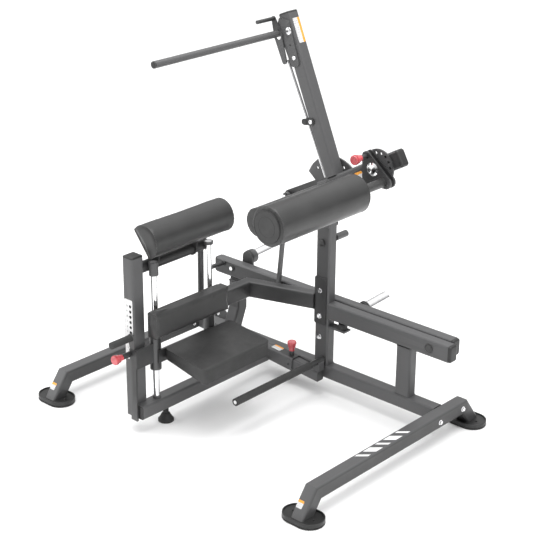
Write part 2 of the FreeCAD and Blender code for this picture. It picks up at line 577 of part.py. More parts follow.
def carriage():
    sleeves = []
    for y in ("rod_near_y", "rod_far_y"):
        sleeves.append(ring("slide_sleeve", "slide_rad", "slide_bush", "slide_top - slide_low",
                            "cross_x", y, "slide_low"))
    beam = box("step_beam", "step_back - 0.3 - (cross_x + slide_rad - 6)", "rod_far_y - rod_near_y + 20", "56",
               "cross_x + slide_rad - 6", "rod_near_y - 10", "step_back_z - 60")
    bores = [rod("lug_bore", "slide_bush", "300", "cross_x", y, "slide_low - 20")
             for y in ("rod_near_y", "rod_far_y")]
    bar = box("slide_bar", "36", "8", "326", "-264", "bar_face - 8", "60")
    web = box("carriage_web", "8", "rod_near_y - bar_face + 8 - 15", "86", "-230", "bar_face - 8", "302")
    ear = plate("grip_ear", [[("-246", "390", "12"), ("grip_x + 8", "grip_z - 14", "12"),
                              ("grip_x", "grip_z", "17"), ("-258", "392", "4")]], "6", "0", "bar_face - 2",
                "0", TO_NEAR)
    barrel = rod("pull_barrel", "12", "40", "pull_x", "bar_face - 8", "pull_z", TO_NEAR)
    bar_hole = rod("pull_space", "6.3", "90", "pull_x", "bar_face + 20", "pull_z", TO_NEAR)
    welded = fuse("carriage_weld", [*sleeves, beam, bar, web, ear, barrel])
    node("carriage_frame", cut("carriage_drilled", welded, [*bores, bar_hole]))
    node("carriage_grip", rod("carriage_grip_rod", "15", "bar_face - 8 - grip_near", "grip_x",
                              "bar_face - 8", "grip_z", TO_NEAR))
    node("carriage_pin", pull_knob("pull_x", "bar_face - 8", "pull_z", TO_NEAR, "43", "9"))
    node("shin_pad", plate("shin_pad_pad", [rectangle("(shin_front - shin_back)", "shin_tall", "shin_corner",
                           ("(shin_front + shin_back)/2", "(shin_low + shin_tall/2)"))],
                           "shin_long", "0", "shin_near + shin_long", "0", TO_NEAR))
    node("shin_pad_board", box("shin_board", "4.6", "shin_long - 30", "shin_tall - 14", "shin_back - 4.8",
                               "shin_near + 15", "shin_low + 7"))


def step_solid(name, inset, drop):
    """The step's block in plan and from the side, inset by a wall, as one solid."""
    plan = plate(name + "_plan", [rectangle(f"(step_front - step_back - 2*{inset})", f"(step_long - 2*{inset})",
                 f"(step_corner - {inset})", ("(step_front + step_back)/2", "(step_near + step_long/2)"))],
                 "200", "0", "0", "220")
    slope = "(step_front_z - step_back_z)/(step_front - step_back)"
    front = f"(step_front - {inset} - step_lip)"
    side = [(f"step_back + {inset} + 1", f"step_back_z - step_back_skirt - {drop} + 1", "1"),
            (f"step_front - {inset} - 3", f"step_front_z - step_skirt - {drop} + 3", "3"),
            (front, f"step_front_z - {inset} - step_lip - step_lip*{slope}", "step_lip"),
            (f"step_back + {inset} + 2", f"step_back_z - {inset} - 2", "2")]
    wall = plate(name + "_side", [side], "step_long + 20", "0", "step_near + step_long + 10", "0", TO_NEAR)
    return common(name, [plan, wall])


def step():
    outside = step_solid("step_outside", "0", "0")
    inside = step_solid("step_inside", "step_wall", "30")
    node("step_plate", cut("step_tray", outside, [inside]))


# ---- rocking arm ----

BOOM = (Y_AXIS, "90 - boom_tilt")
ARM = (-Y_AXIS, "arm_tilt")
LATCH = (-Y_AXIS, "arm_tilt + latch_lean")


def boom_spot(along, out="0"):
    """A place on the boom's centre line, up from the hub, and out from it on the upper side."""
    return (f"boom_x + ({along})*cos(boom_tilt) - ({out})*sin(boom_tilt)",
            f"boom_z + ({along})*sin(boom_tilt) + ({out})*cos(boom_tilt)")


def arm_spot(along, out="0"):
    """A place on the tall arm's centre line, up from its foot, and out from it towards the back."""
    return (f"arm_foot_x - ({along})*sin(arm_tilt) - ({out})*cos(arm_tilt)",
            f"arm_foot_z + ({along})*cos(arm_tilt) - ({out})*sin(arm_tilt)")


def rocking_arm():
    low_x, low_z = boom_spot("-boom_down")
    straight = tube("boom_tube", "beam_tall", "boom_wide", "boom_up + boom_down", low_x, "0", low_z, BOOM)
    bush = ring("boom_bush", "18.95", "axle_rad + fit_gap", "boom_wide", "pivot_x", "-boom_wide/2",
                "pivot_z", TO_FAR)
    bush_space = rod("boom_bush_space", "19", "boom_wide + 4", "pivot_x", "-boom_wide/2 - 2", "pivot_z", TO_FAR)
    hub_space = rod("boom_hub_space", "hub_rad + fit_gap", "boom_wide + 20", "boom_x", "-boom_wide/2 - 16",
                    "boom_z", TO_FAR)
    dial = plate("roller_dial", [[("boom_x", "boom_z", "dial_rad")]], "roller_plate_thick", "0",
                 "-boom_wide/2", "0", TO_NEAR)
    below_x, below_z = boom_spot("-200", "-140")
    below = box("dial_below", "120", "40", "400", below_x, "-boom_wide/2 - 30", below_z, BOOM)
    holes = [rod("dial_hole", "dial_hole_rad + 0.4", "20", f"boom_x + dial_hole_ring*cos({angle})",
                 "-boom_wide/2 - 14", f"boom_z + dial_hole_ring*sin({angle})", TO_FAR)
             for angle in (f"(dial_pin_angle + {step}*dial_step)" for step in range(-5, 2))]
    node("boom", cut("boom_drilled", fuse("boom_weld", [straight, cut("dial_cut", dial, [below])]),
                     [bush_space, hub_space, *holes]))
    node("boom_bush", bush)
    foot_x, foot_z = arm_spot("-arm_down")
    arm = tube("arm_tube", "base_tube", "base_tube", "arm_down + arm_up", foot_x, "0", foot_z, ARM)
    boom_space = box("arm_boom_space", "beam_tall + 300", "80", "boom_up + boom_down + 300",
                     f"{low_x} - 150*cos(boom_tilt) - beam_tall/2*sin(boom_tilt)", "-40",
                     f"{low_z} - 150*sin(boom_tilt) + beam_tall/2*cos(boom_tilt)", BOOM)
    node("tall_arm", cut("arm_mitred", arm, [boom_space]))
    top_x, top_z = arm_spot("arm_up")
    end_x, end_z = boom_spot("boom_up")
    foot_end_x, foot_end_z = boom_spot("-boom_down")
    node("arm_caps", group("arm_cap_set", [
        plate("arm_top_cap", [rectangle("base_tube", "base_tube", "tube_corner")], "8", top_x, "0", top_z, ARM),
        plate("boom_end_cap", [rectangle("(beam_tall - 1)", "(boom_wide - 1)", "12")], "12",
              end_x, "0", end_z, BOOM),
        plate("boom_foot_cap", [rectangle("(beam_tall - 1)", "(boom_wide - 1)", "12")], "5",
              foot_end_x, "0", foot_end_z, (-Y_AXIS, "90 + boom_tilt"))]))


def handle():
    near = "-base_tube/2"
    low_x, low_z = arm_spot("392", "22")
    top_x, top_z = arm_spot("578", "20")
    edge_x, edge_z = arm_spot("560", "-8")
    foot_x, foot_z = arm_spot("392", "2")
    back_x, back_z = arm_spot("558", "36")
    side = plate("handle_side_plate", [[(foot_x, foot_z, "14"), (edge_x, edge_z, "14"), (top_x, top_z, "12"),
                                        (back_x, back_z, "10"), (low_x, low_z, "12")]],
                 "bracket_thick", "0", near, "0", TO_NEAR)
    rear_x, rear_z = arm_spot("392", "base_tube/2 + 8.6")
    rear = box("handle_back_plate", "8.6", "base_tube", "178", rear_x, near, rear_z, ARM)
    bar_space = rod("handle_bar_space", "handle_rad + 0.1", "2*base_tube", "handle_x", "-base_tube",
                    "handle_z", TO_FAR)
    node("handle_bracket", cut("handle_bracket_drilled", fuse("handle_bracket_weld", [side, rear]),
                               [bar_space]))
    node("handle_bar", rod("handle_bar_rod", "handle_rad", "22 - handle_near", "handle_x", "handle_near",
                           "handle_z", TO_FAR))
    strap = plate("latch_guide_strap", [[("latch_guide_x", "latch_guide_z", "13"), ("clip_x", "clip_z", "15")]],
                  "6", "0", near, "0", TO_NEAR)
    slope = "tan(arm_tilt + latch_lean)"
    bush = ring("latch_guide_bush", "13", "latch_rad + 0.6", "26", f"latch_guide_x + 13*{slope}", "latch_y",
                "latch_guide_z - 13", LATCH)
    arm_block = box("latch_guide_block", "22", "14", "18", "latch_guide_x - 11", "latch_y - 26",
                    "latch_guide_z - 9")
    bore = rod("latch_guide_bore", "latch_rad + 0.6", "80", f"latch_guide_x + 42*{slope}", "latch_y",
               "latch_guide_z - 42", LATCH)
    node("latch_guide", cut("latch_guide_cut", fuse("latch_guide_weld", [strap, bush, arm_block]), [bore]))
    node("latch_rod", rod("latch_rod_bar", "latch_rad", "latch_long", "latch_x", "latch_y", "latch_z", LATCH))
    lever_y = f"{near} - bracket_thick - 1"
    slot_end = ("(handle_x + latch_travel*sin(arm_tilt + latch_lean))",
                "(handle_z - latch_travel*cos(arm_tilt + latch_lean))")
    upper = plate("latch_upper", [[(*slot_end, "22"), ("handle_x", "handle_z", "22"),
                                   ("trigger_x", "trigger_z", "10")]], "6", "0", lever_y, "0", TO_NEAR)
    lower = plate("latch_lower", [[("latch_tip_x", "latch_tip_z", "12"), ("handle_x", "handle_z", "22")]], "6",
                  "0", lever_y, "0", TO_NEAR)
    slot_rad = "handle_rad + fit_gap"
    slot = plate("latch_slot", [[(*slot_end, slot_rad), ("handle_x", "handle_z", slot_rad)]], "30", "0",
                 f"{lever_y} + 15", "0", TO_NEAR)
    trigger = rod("latch_trigger", "8", f"{lever_y} - 3 - trigger_near", "trigger_x", "trigger_near",
                  "trigger_z", TO_FAR)
    tip = rod("latch_tip_pin", "6", f"latch_y - latch_rad - 0.3 - {lever_y}", "latch_tip_x", lever_y,
              "latch_tip_z", TO_FAR)
    node("latch_lever", cut("latch_lever_slotted", fuse("latch_lever_weld", [upper, lower, trigger, tip]),
                            [slot]))


# ---- rollers and their bracket ----

def roller(name, x, z, radius, near, length, bar, ends):
    foam = ring(name + "_foam", radius, f"{bar} + 3.3", f"{length}", x, near, z, TO_FAR)
    node(name, foam)
    if ends:
        near_end = rod(name + "_near_end", f"{radius} - 15", "5", x, f"{near} - 5.2", z, TO_FAR)
        far_end = ring(name + "_far_end", f"{radius} - 15", f"{bar} + 0.6", "6", x, f"{near} + {length} + 0.2",
                       z, TO_FAR)
        node(name + "_ends", group(name + "_end_pair", [near_end, far_end]))


def rollers():
    pin_x = "(boom_x + dial_hole_ring*cos(dial_pin_angle))"
    pin_z = "(boom_z + dial_hole_ring*sin(dial_pin_angle))"
    plate_near = "(front_plate_y - roller_plate_thick)"
    corners = [("314", "1055", "16"), ("roller_x + 12", "roller_z", "26"), (pin_x, pin_z, "20")]
    tail = plate("roller_tail_plate", [[("back_roller_x", "back_roller_z", "18"), ("330", "1052", "20")]],
                 "roller_plate_thick", "0", "front_plate_y", "0", TO_NEAR)
    plates = [plate("roller_side_plate", [corners], "roller_plate_thick", "0", face, "0", TO_NEAR)
              for face in ("front_plate_y", "back_plate_y")]
    spacer = rod("roller_spacer", "12", "back_plate_y - front_plate_y", "roller_x", "front_plate_y - 4",
                 "roller_z", TO_FAR)
    barrel = rod("roller_pin_barrel", "10", f"back_plate_y - 4 - {plate_near} + pin_barrel", pin_x,
                 f"{plate_near} - pin_barrel", pin_z, TO_FAR)
    pin_space = rod("roller_pin_space", "6.3", "120", pin_x, f"{plate_near} - pin_barrel - 10", pin_z, TO_FAR)
    shaft = rod("roller_hub", "hub_rad", "boom_wide/2 + 1.5 - front_plate_y + 2", "boom_x", "front_plate_y - 2",
                "boom_z", TO_FAR)
    head = rod("roller_hub_head", "22", "6", "boom_x", "boom_wide/2 + 0.5", "boom_z", TO_FAR)
    node("roller_bracket", cut("roller_bracket_drilled", fuse("roller_bracket_weld", [
        *plates, tail, spacer, barrel, shaft, head]), [pin_space]))
    node("roller_pin", pull_knob(pin_x, f"{plate_near} - pin_barrel", pin_z, TO_NEAR, "2",
                                 f"pin_barrel - {plate_near} + back_plate_y + 0.5"))
    cap = [("0", "0"), ("hub_cap_rad", "0"), ("hub_cap_rad", "3"), ("20", "8"), ("0", "10")]
    node("hub_cap", turned("hub_cap_turned", cap, "boom_x", "front_plate_y - roller_plate_thick", "boom_z",
                           TO_NEAR))
    bars = [rod("front_roller_bar", "roller_bar_rad", f"{plate_near} - roller_near - 2", "roller_x",
                "roller_near + 2", "roller_z", TO_FAR),
            rod("back_roller_bar", "back_bar_rad", f"{plate_near} - back_roller_near + 10", "back_roller_x",
                "back_roller_near - 10", "back_roller_z", TO_FAR)]
    node("roller_bars", group("roller_bar_pair", bars))
    roller("front_roller", "roller_x", "roller_z", "roller_rad", "roller_near", "roller_long",
           "roller_bar_rad", True)
    roller("rear_roller", "back_roller_x", "back_roller_z", "back_roller_rad", "back_roller_near",
           "back_roller_long", "back_bar_rad", False)


# ---- weight lever, sector and link ----

def sector():
    pivot = ("pivot_x", "pivot_z")
    disc = plate("sector_disc", [[(*pivot, "sector_rad")]], "sector_thick", "0",
                 f"{SECTOR_NEAR} + sector_thick", "0", TO_NEAR)
    corners = [(*pivot, "46"), ("pivot_x + 220*cos(52)", "pivot_z + 220*sin(52)", "4"),
               ("pivot_x + 260*cos(100)", "pivot_z + 260*sin(100)", "4"),
               ("pivot_x + 220*cos(152)", "pivot_z + 220*sin(152)", "4")]
    window = plate("sector_window", [corners], "sector_thick", "0", f"{SECTOR_NEAR} + sector_thick", "0",
                   TO_NEAR)
    fan = common("sector_fan", [disc, window])
    arm = plate("sector_arm", [[(*pivot, "sector_arm_rad"), ("link_x", "link_z", "25")]], "sector_thick", "0",
                f"{SECTOR_NEAR} + sector_thick", "0", TO_NEAR)
    bore = rod("sector_bore", "axle_rad + fit_gap", "40", *pivot[:1], "20", pivot[1], TO_FAR)
    holes = [rod("sector_hole", "sector_hole_rad", "40", f"pivot_x + sector_holes*cos({angle})", "20",
                 f"pivot_z + sector_holes*sin({angle})", TO_FAR) for angle in range(67, 145, 12)]
    pin = rod("sector_pin", "link_pin_rad", f"{SECTOR_NEAR} - 3", "link_x", "3", "link_z", TO_FAR)
    head = rod("sector_pin_head", "13", "5", "link_x", "0.5", "link_z", TO_FAR)
    body = cut("sector_drilled", fuse("sector_blank", [fan, arm]), [bore, *holes])
    node("sector_plate", fuse("sector_weld", [body, pin, head]))


def link():
    upper = [("link_x", "link_z", "18")]
    lower = [("link_low_x", "link_low_z", "24")]
    run = [("link_x", "link_z", "8"), ("link_low_x", "link_low_z", "8")]
    eye_near = "link_y + link_rad"
    pieces = [plate("link_part", [band], "2*link_rad", "0", eye_near, "0", TO_NEAR)
              for band in (upper, lower, [run[1], run[0]])]
    top_hole = rod("link_top_hole", "link_pin_rad + fit_gap", "40", "link_x", "-5", "link_z", TO_FAR)
    low_hole = rod("link_low_hole", "link_pin_rad + link_slack", "40", "link_low_x", "-5", "link_low_z", TO_FAR)
    node("link_rod", cut("link_drilled", fuse("link_weld", pieces), [top_hole, low_hole]))


def weight_lever():
    straight = tube("lever_tube", "beam_tall", "beam_wide", "lever_x + lever_end - lever_tail - 2*cap_long",
                    "lever_tail", LEVER_MID, "beam_z", TO_FRONT)
    bore = rod("lever_bore", "16", "beam_wide + 4", "lever_x", f"{LEVER_NEAR} - 2", "beam_z", TO_FAR)
    bush = ring("lever_bush", "17", "lever_axle_rad + fit_gap", "beam_wide", "lever_x", LEVER_NEAR,
                "beam_z", TO_FAR)
    pin = rod("lever_pin", "link_pin_rad", f"{LEVER_NEAR} - 3", "link_low_x", "3", "link_low_z", TO_FAR)
    pin_head = rod("lever_pin_head", "26", "3", "link_low_x", "3", "link_low_z", TO_FAR)
    far_face = "(beam_wide*1.5 + lever_gap)"
    collars = []
    horns = []
    tilt = (X_AXIS, "270 + horn_lift")
    for x, z, length, seat in (("horn_back_x", "horn_back_z", "horn_back_long", "collar_long"),
                               ("horn_front_x", "horn_front_z", "horn_front_long", "6")):
        foot = [(f"{x} - 26", "beam_z - 20", "8"), (f"{x} + 26", "beam_z - 20", "8"), (x, z, "30")]
        collars.append(plate("horn_foot", [foot], "horn_plate", "0", f"{far_face} + horn_plate", "0", TO_NEAR))
        collars.append(rod("horn_collar", "collar_rad", seat, x, f"{far_face} + horn_plate", z, TO_FAR))
        root = f"{far_face} + horn_plate + {seat} + 1.6"
        horns.append(turned("horn", [("0", "0"), ("horn_rad", "0"), ("horn_rad", f"{length} - horn_chamfer"),
                                     ("horn_rad - horn_chamfer", length), ("0", length)], x, root, z, tilt))
    node("weight_lever", fuse("lever_weld", [cut("lever_drilled", straight, [bore]), bush, pin, pin_head,
                                             *collars]))
    node("weight_horns", group("weight_horn_pair", horns))
    caps = [plate("lever_tail_cap", [rectangle("(beam_tall - 1)", "(beam_wide - 1)", "12")], "cap_long",
                  "lever_tail", LEVER_MID, "beam_z", TO_BACK),
            plate("lever_head_cap", [rectangle("(beam_tall - 1)", "(beam_wide - 1)", "12")], "cap_long",
                  "lever_x + lever_end - 2*cap_long", LEVER_MID, "beam_z", TO_FRONT)]
    node("lever_caps", group("lever_cap_pair", caps))
    peg = [("0", "0"), ("14", "0"), ("14", "8"), ("peg_rad", "8"), ("peg_rad", "peg_long - 2"),
           ("peg_rad - 2", "peg_long"), ("0", "peg_long")]
    node("band_peg", turned("band_peg_turned", peg, "peg_x", LEVER_NEAR, "beam_z + 20", TO_NEAR))


def check(item):
    """Stop on a failed feature or a bad shape."""
    bad = [part.Name for part in doc.Objects if "Invalid" in part.State or "Error" in part.State]
    if bad:
        raise RuntimeError(f"failed features: {bad}")
    if item.Shape.isNull() or not item.Shape.isValid() or not item.Shape.Solids:
        raise RuntimeError(f"bad shape: {item.Label}")


for build in (base, column, lever_stop, brace, mast, frame_caps, frame_fasteners, foot_rail, carriage, step,
              rocking_arm, handle, rollers, sector, link, weight_lever):
    build()
doc.recompute()
os.makedirs("parts", exist_ok=True)
for item in nodes:
    check(item)
for item in nodes:
    item.Shape.exportStep(f"parts/{item.Label}.step")
whole = Part.makeCompound([item.Shape for item in nodes]).BoundBox
print("nodes", len(nodes), "box", [round(size, 1) for size in (
    whole.XMin, whole.XMax, whole.YMin, whole.YMax, whole.ZMin, whole.ZMax)])
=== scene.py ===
import json
import math

import bmesh
import bpy
from mathutils import Matrix, Vector


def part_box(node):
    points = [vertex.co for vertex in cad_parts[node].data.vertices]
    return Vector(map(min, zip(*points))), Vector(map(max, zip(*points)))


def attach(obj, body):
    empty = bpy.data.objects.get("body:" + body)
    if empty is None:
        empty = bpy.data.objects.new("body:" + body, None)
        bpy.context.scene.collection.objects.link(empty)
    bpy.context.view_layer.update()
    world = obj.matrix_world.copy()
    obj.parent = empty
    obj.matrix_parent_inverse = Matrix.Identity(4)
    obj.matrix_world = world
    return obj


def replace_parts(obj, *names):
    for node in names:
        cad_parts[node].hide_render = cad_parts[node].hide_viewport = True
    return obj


# The looks of a plate-loaded standing abdominal machine: coated steel, chrome, vinyl pads and labels.
# Metres, in the model's own frame. Places come from the model's boxes, or from at(), which counts
# in millimetres from the layout's origin on the base beam's centre line.

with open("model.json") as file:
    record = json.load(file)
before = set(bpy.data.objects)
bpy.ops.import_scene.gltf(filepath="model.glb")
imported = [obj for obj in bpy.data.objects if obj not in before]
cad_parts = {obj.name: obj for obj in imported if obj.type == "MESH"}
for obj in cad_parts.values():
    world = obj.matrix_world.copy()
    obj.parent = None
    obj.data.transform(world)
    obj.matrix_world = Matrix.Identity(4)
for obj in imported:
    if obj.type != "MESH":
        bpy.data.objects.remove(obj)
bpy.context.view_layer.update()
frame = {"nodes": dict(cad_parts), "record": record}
nodes = frame["nodes"]

ARM_TILT = math.radians(22.9)
BOOM_TILT = math.radians(29.8)
RAIL_TILT = math.radians(5)
LEG_LEAN = math.radians(37)
NEAR = Vector((0, -1, 0))
UP = Vector((0, 0, 1))
MACHINE_MIDDLE = Vector((0, 0, 0.6))

# Millimetres, as at() counts them. HOLE_COUNT is how many height holes the mast post has.
BASE_TUBE = 60
COLUMN_X = 63
STABILISER_ENDS = (-827, 120)
STABILISER_Z = 99
FOOT_REACH = 56
HOLE_X = -262
STRIP_X = HOLE_X - 10
FIGURE_X = HOLE_X - 19
FIRST_HOLE_Z = 361.75
HOLE_PITCH = 23.25
HOLE_COUNT = 10

# Metres: half the base tube, the section of the column and the front post, and the thin films.
HALF_TUBE = BASE_TUBE / 2000
UPRIGHT_DEEP = 0.075
UPRIGHT_WIDE = 0.05
LABEL_THICK = 0.00025
LIFT_OFF = 0.0001


def middle(node):
    """The middle of a node's box."""
    low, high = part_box(node)
    return (low + high) / 2


ORIGIN = Vector((0.003, middle("base_beam").y, 0))


def at(x, y, z):
    """A place given in millimetres, with z counted up from the floor."""
    return ORIGIN + Vector((x, y, z)) / 1000


def arm_at(along, out, y):
    """A place on the tall arm, up from its foot and out from its centre line towards the back."""
    return at(60 - along * math.sin(ARM_TILT) - out * math.cos(ARM_TILT), y,
              1100 + along * math.cos(ARM_TILT) - out * math.sin(ARM_TILT))


def boom_at(along, out, y):
    """A place on the boom, up from a point 43 mm below the roller hub, and out on the upper side."""
    return at(313 + along * math.cos(BOOM_TILT) - out * math.sin(BOOM_TILT), y,
              1088 + along * math.sin(BOOM_TILT) + out * math.cos(BOOM_TILT))


# ---- materials ----

def new_material(name, rough, metallic=0.0):
    """A fresh material, with its node tree and its shader."""
    material = bpy.data.materials.new(name)
    material.use_nodes = True
    shader = material.node_tree.nodes["Principled BSDF"]
    shader.inputs["Roughness"].default_value = rough
    shader.inputs["Metallic"].default_value = metallic
    return material, material.node_tree, shader


def noise(tree, scale, detail=3.0, roughness=0.5):
    """Cloudy noise in the object's own space."""
    places = tree.nodes.new("ShaderNodeTexCoord")
    texture = tree.nodes.new("ShaderNodeTexNoise")
    texture.inputs["Scale"].default_value = scale
    texture.inputs["Detail"].default_value = detail
    texture.inputs["Roughness"].default_value = roughness
    tree.links.new(places.outputs["Object"], texture.inputs["Vector"])
    return texture.outputs["Fac"]


def cells(tree, scale):
    """The grain of a skin: rounded cells parted by fine creases."""
    places = tree.nodes.new("ShaderNodeTexCoord")
    texture = tree.nodes.new("ShaderNodeTexVoronoi")
    texture.feature = "SMOOTH_F1"
    texture.inputs["Scale"].default_value = scale
    texture.inputs["Smoothness"].default_value = 0.6
    tree.links.new(places.outputs["Object"], texture.inputs["Vector"])
    return texture.outputs["Distance"]


def ramp(tree, source, low, high, start=0.35, end=0.65):
    """Runs between two colours as the source goes from start to end."""
    scale = tree.nodes.new("ShaderNodeValToRGB")
    scale.color_ramp.elements[0].position = start
    scale.color_ramp.elements[1].position = end
    scale.color_ramp.elements[0].color = (*low, 1)
    scale.color_ramp.elements[1].color = (*high, 1)
    tree.links.new(source, scale.inputs["Fac"])
    return scale.outputs["Color"]


def spread(tree, source, low, high):
    """The source's middle range turned into a value between low and high."""
    scale = tree.nodes.new("ShaderNodeMapRange")
    scale.inputs["From Min"].default_value = 0.3
    scale.inputs["From Max"].default_value = 0.7
    scale.inputs["To Min"].default_value = low
    scale.inputs["To Max"].default_value = high
    tree.links.new(source, scale.inputs["Value"])
    return scale.outputs["Result"]


def bump(tree, shader, source, strength, distance):
    """Raises the skin where the source is high."""
    height = tree.nodes.new("ShaderNodeBump")
    height.inputs["Strength"].default_value = strength
    height.inputs["Distance"].default_value = distance
    tree.links.new(source, height.inputs["Height"])
    tree.links.new(height.outputs["Normal"], shader.inputs["Normal"])


def grey(level, tint=1.0):
    """A grey, with its blue scaled by tint."""
    return (level, level, level * tint)


def rubbed_and_highlit_edges(tree, coat, rubbed_and_lit_colour):
    """The coat's colour, made lighter along convex edges: partly rubbed wear, partly a painted highlight on
    the edges.
    """
    places = tree.nodes.new("ShaderNodeNewGeometry")
    edge_rub_and_highlight = tree.nodes.new("ShaderNodeMapRange")
    edge_rub_and_highlight.inputs["From Min"].default_value = 0.53
    edge_rub_and_highlight.inputs["From Max"].default_value = 0.62
    tree.links.new(places.outputs["Pointiness"], edge_rub_and_highlight.inputs["Value"])
    # Painted highlight: convex edges mix towards the lighter colour, which stands partly for rubbed wear and
    # partly for light caught on the edges.
    mix = tree.nodes.new("ShaderNodeMix")
    mix.data_type = "RGBA"
    tree.links.new(edge_rub_and_highlight.outputs["Result"], mix.inputs["Factor"])
    tree.links.new(coat, mix.inputs["A"])
    mix.inputs["B"].default_value = (*rubbed_and_lit_colour, 1)
    return mix.outputs["Result"]


def coated_steel():
    """Powder coat: fine orange peel, a slow change of tone, and lighter edges that are partly rubbed wear and
    partly a painted highlight.
    """
    material, tree, shader = new_material("powder_coat", 0.42)
    tone = ramp(tree, noise(tree, 7, 4), grey(0.026, 1.02), grey(0.034, 1.02))
    # The lighter edge grey is partly rubbed wear and partly a painted highlight.
    tree.links.new(rubbed_and_highlit_edges(tree, tone, grey(0.085, 1.02)), shader.inputs["Base Color"])
    tree.links.new(spread(tree, noise(tree, 30, 4), 0.36, 0.44), shader.inputs["Roughness"])
    bump(tree, shader, noise(tree, 650, 2, 0.6), 0.1, 0.0003)
    return material


def chrome():
    """Polished chrome with faint clouds in its colour and gloss."""
    material, tree, shader = new_material("polished_chrome", 0.08, 1.0)
    tree.links.new(ramp(tree, noise(tree, 40, 4), grey(0.80, 1.01), grey(0.9, 1.01)),
                   shader.inputs["Base Color"])
    tree.links.new(spread(tree, noise(tree, 60, 5), 0.05, 0.16), shader.inputs["Roughness"])
    return material


def vinyl(name, level):
    """Upholstery vinyl: pebbled grain, creases, a soft sheen that changes with wear, and lighter edges that
    are partly wear and partly a painted highlight.
    """
    material, tree, shader = new_material(name, 0.5)
    tone = ramp(tree, noise(tree, 9, 5), grey(level * 0.88), grey(level * 1.1))
    # The lighter edge colour is partly wear and partly a painted highlight.
    tree.links.new(rubbed_and_highlit_edges(tree, tone, grey(level * 1.7)), shader.inputs["Base Color"])
    tree.links.new(spread(tree, noise(tree, 16, 4), 0.3, 0.42), shader.inputs["Roughness"])
    shader.inputs["Sheen Weight"].default_value = 0.05
    shader.inputs["Sheen Roughness"].default_value = 0.4
    bump(tree, shader, cells(tree, 520), 0.2, 0.0004)
    return material


def moulded(name, level, rough, scale=380, depth=0.0004):
    """Moulded plastic or rubber with a spark-eroded skin, and lighter edges that are partly wear and partly a
    painted highlight.
    """
    material, tree, shader = new_material(name, rough)
    tone = ramp(tree, noise(tree, 12, 4), grey(level * 0.85), grey(level * 1.12))
    # The lighter edge colour is partly wear and partly a painted highlight.
    tree.links.new(rubbed_and_highlit_edges(tree, tone, grey(level * 1.8)), shader.inputs["Base Color"])
    tree.links.new(spread(tree, noise(tree, 35, 3), rough - 0.07, rough + 0.08), shader.inputs["Roughness"])
    bump(tree, shader, noise(tree, scale, 3, 0.6), 0.3, depth)
    return material


def red_knob():
    """Clear-coated red, its tone going lighter and darker in soft clouds."""
    material, tree, shader = new_material("red_knob_cover", 0.2)
    tree.links.new(ramp(tree, noise(tree, 45, 3), (0.52, 0.055, 0.07), (0.68, 0.115, 0.13)),
                   shader.inputs["Base Color"])
    tree.links.new(spread(tree, noise(tree, 80, 3), 0.14, 0.3), shader.inputs["Roughness"])
    shader.inputs["Coat Weight"].default_value = 0.6
    shader.inputs["Coat Roughness"].default_value = 0.08
    bump(tree, shader, noise(tree, 220, 2), 0.1, 0.0003)
    return material


def tread():
    """The step's surface: a fine raised stipple with dull and polished patches, and lighter edges that are
    partly wear and partly a painted highlight.
    """
    material, tree, shader = new_material("step_tread", 0.52)
    tone = ramp(tree, noise(tree, 14, 5), grey(0.024), grey(0.033))
    # The lighter edge grey is partly wear and partly a painted highlight.
    tree.links.new(rubbed_and_highlit_edges(tree, tone, grey(0.075)), shader.inputs["Base Color"])
    tree.links.new(spread(tree, noise(tree, 25, 4), 0.4, 0.52), shader.inputs["Roughness"])
    bump(tree, shader, cells(tree, 760), 0.45, 0.0005)
    return material


def stained_board():
    """Black stained plywood: long stretched grain."""
    material, tree, shader = new_material("stained_board", 0.6)
    places = tree.nodes.new("ShaderNodeTexCoord")
    stretch = tree.nodes.new("ShaderNodeMapping")
    stretch.inputs["Scale"].default_value = (160, 9, 160)
    tree.links.new(places.outputs["Object"], stretch.inputs["Vector"])
    texture = tree.nodes.new("ShaderNodeTexNoise")
    texture.inputs["Scale"].default_value = 1
    texture.inputs["Detail"].default_value = 5
    tree.links.new(stretch.outputs["Vector"], texture.inputs["Vector"])
    tree.links.new(ramp(tree, texture.outputs["Fac"], (0.035, 0.032, 0.03), (0.075, 0.07, 0.065)),
                   shader.inputs["Base Color"])
    bump(tree, shader, texture.outputs["Fac"], 0.25, 0.0006)
    return material


def dark_steel():
    """Blackened steel with fine turned lines."""
    material, tree, shader = new_material("blackened_steel", 0.38, 0.55)
    tree.links.new(ramp(tree, noise(tree, 22, 4), grey(0.05), grey(0.08)), shader.inputs["Base Color"])
    tree.links.new(spread(tree, noise(tree, 50, 4), 0.3, 0.46), shader.inputs["Roughness"])
    bump(tree, shader, noise(tree, 900, 2), 0.15, 0.0003)
    return material


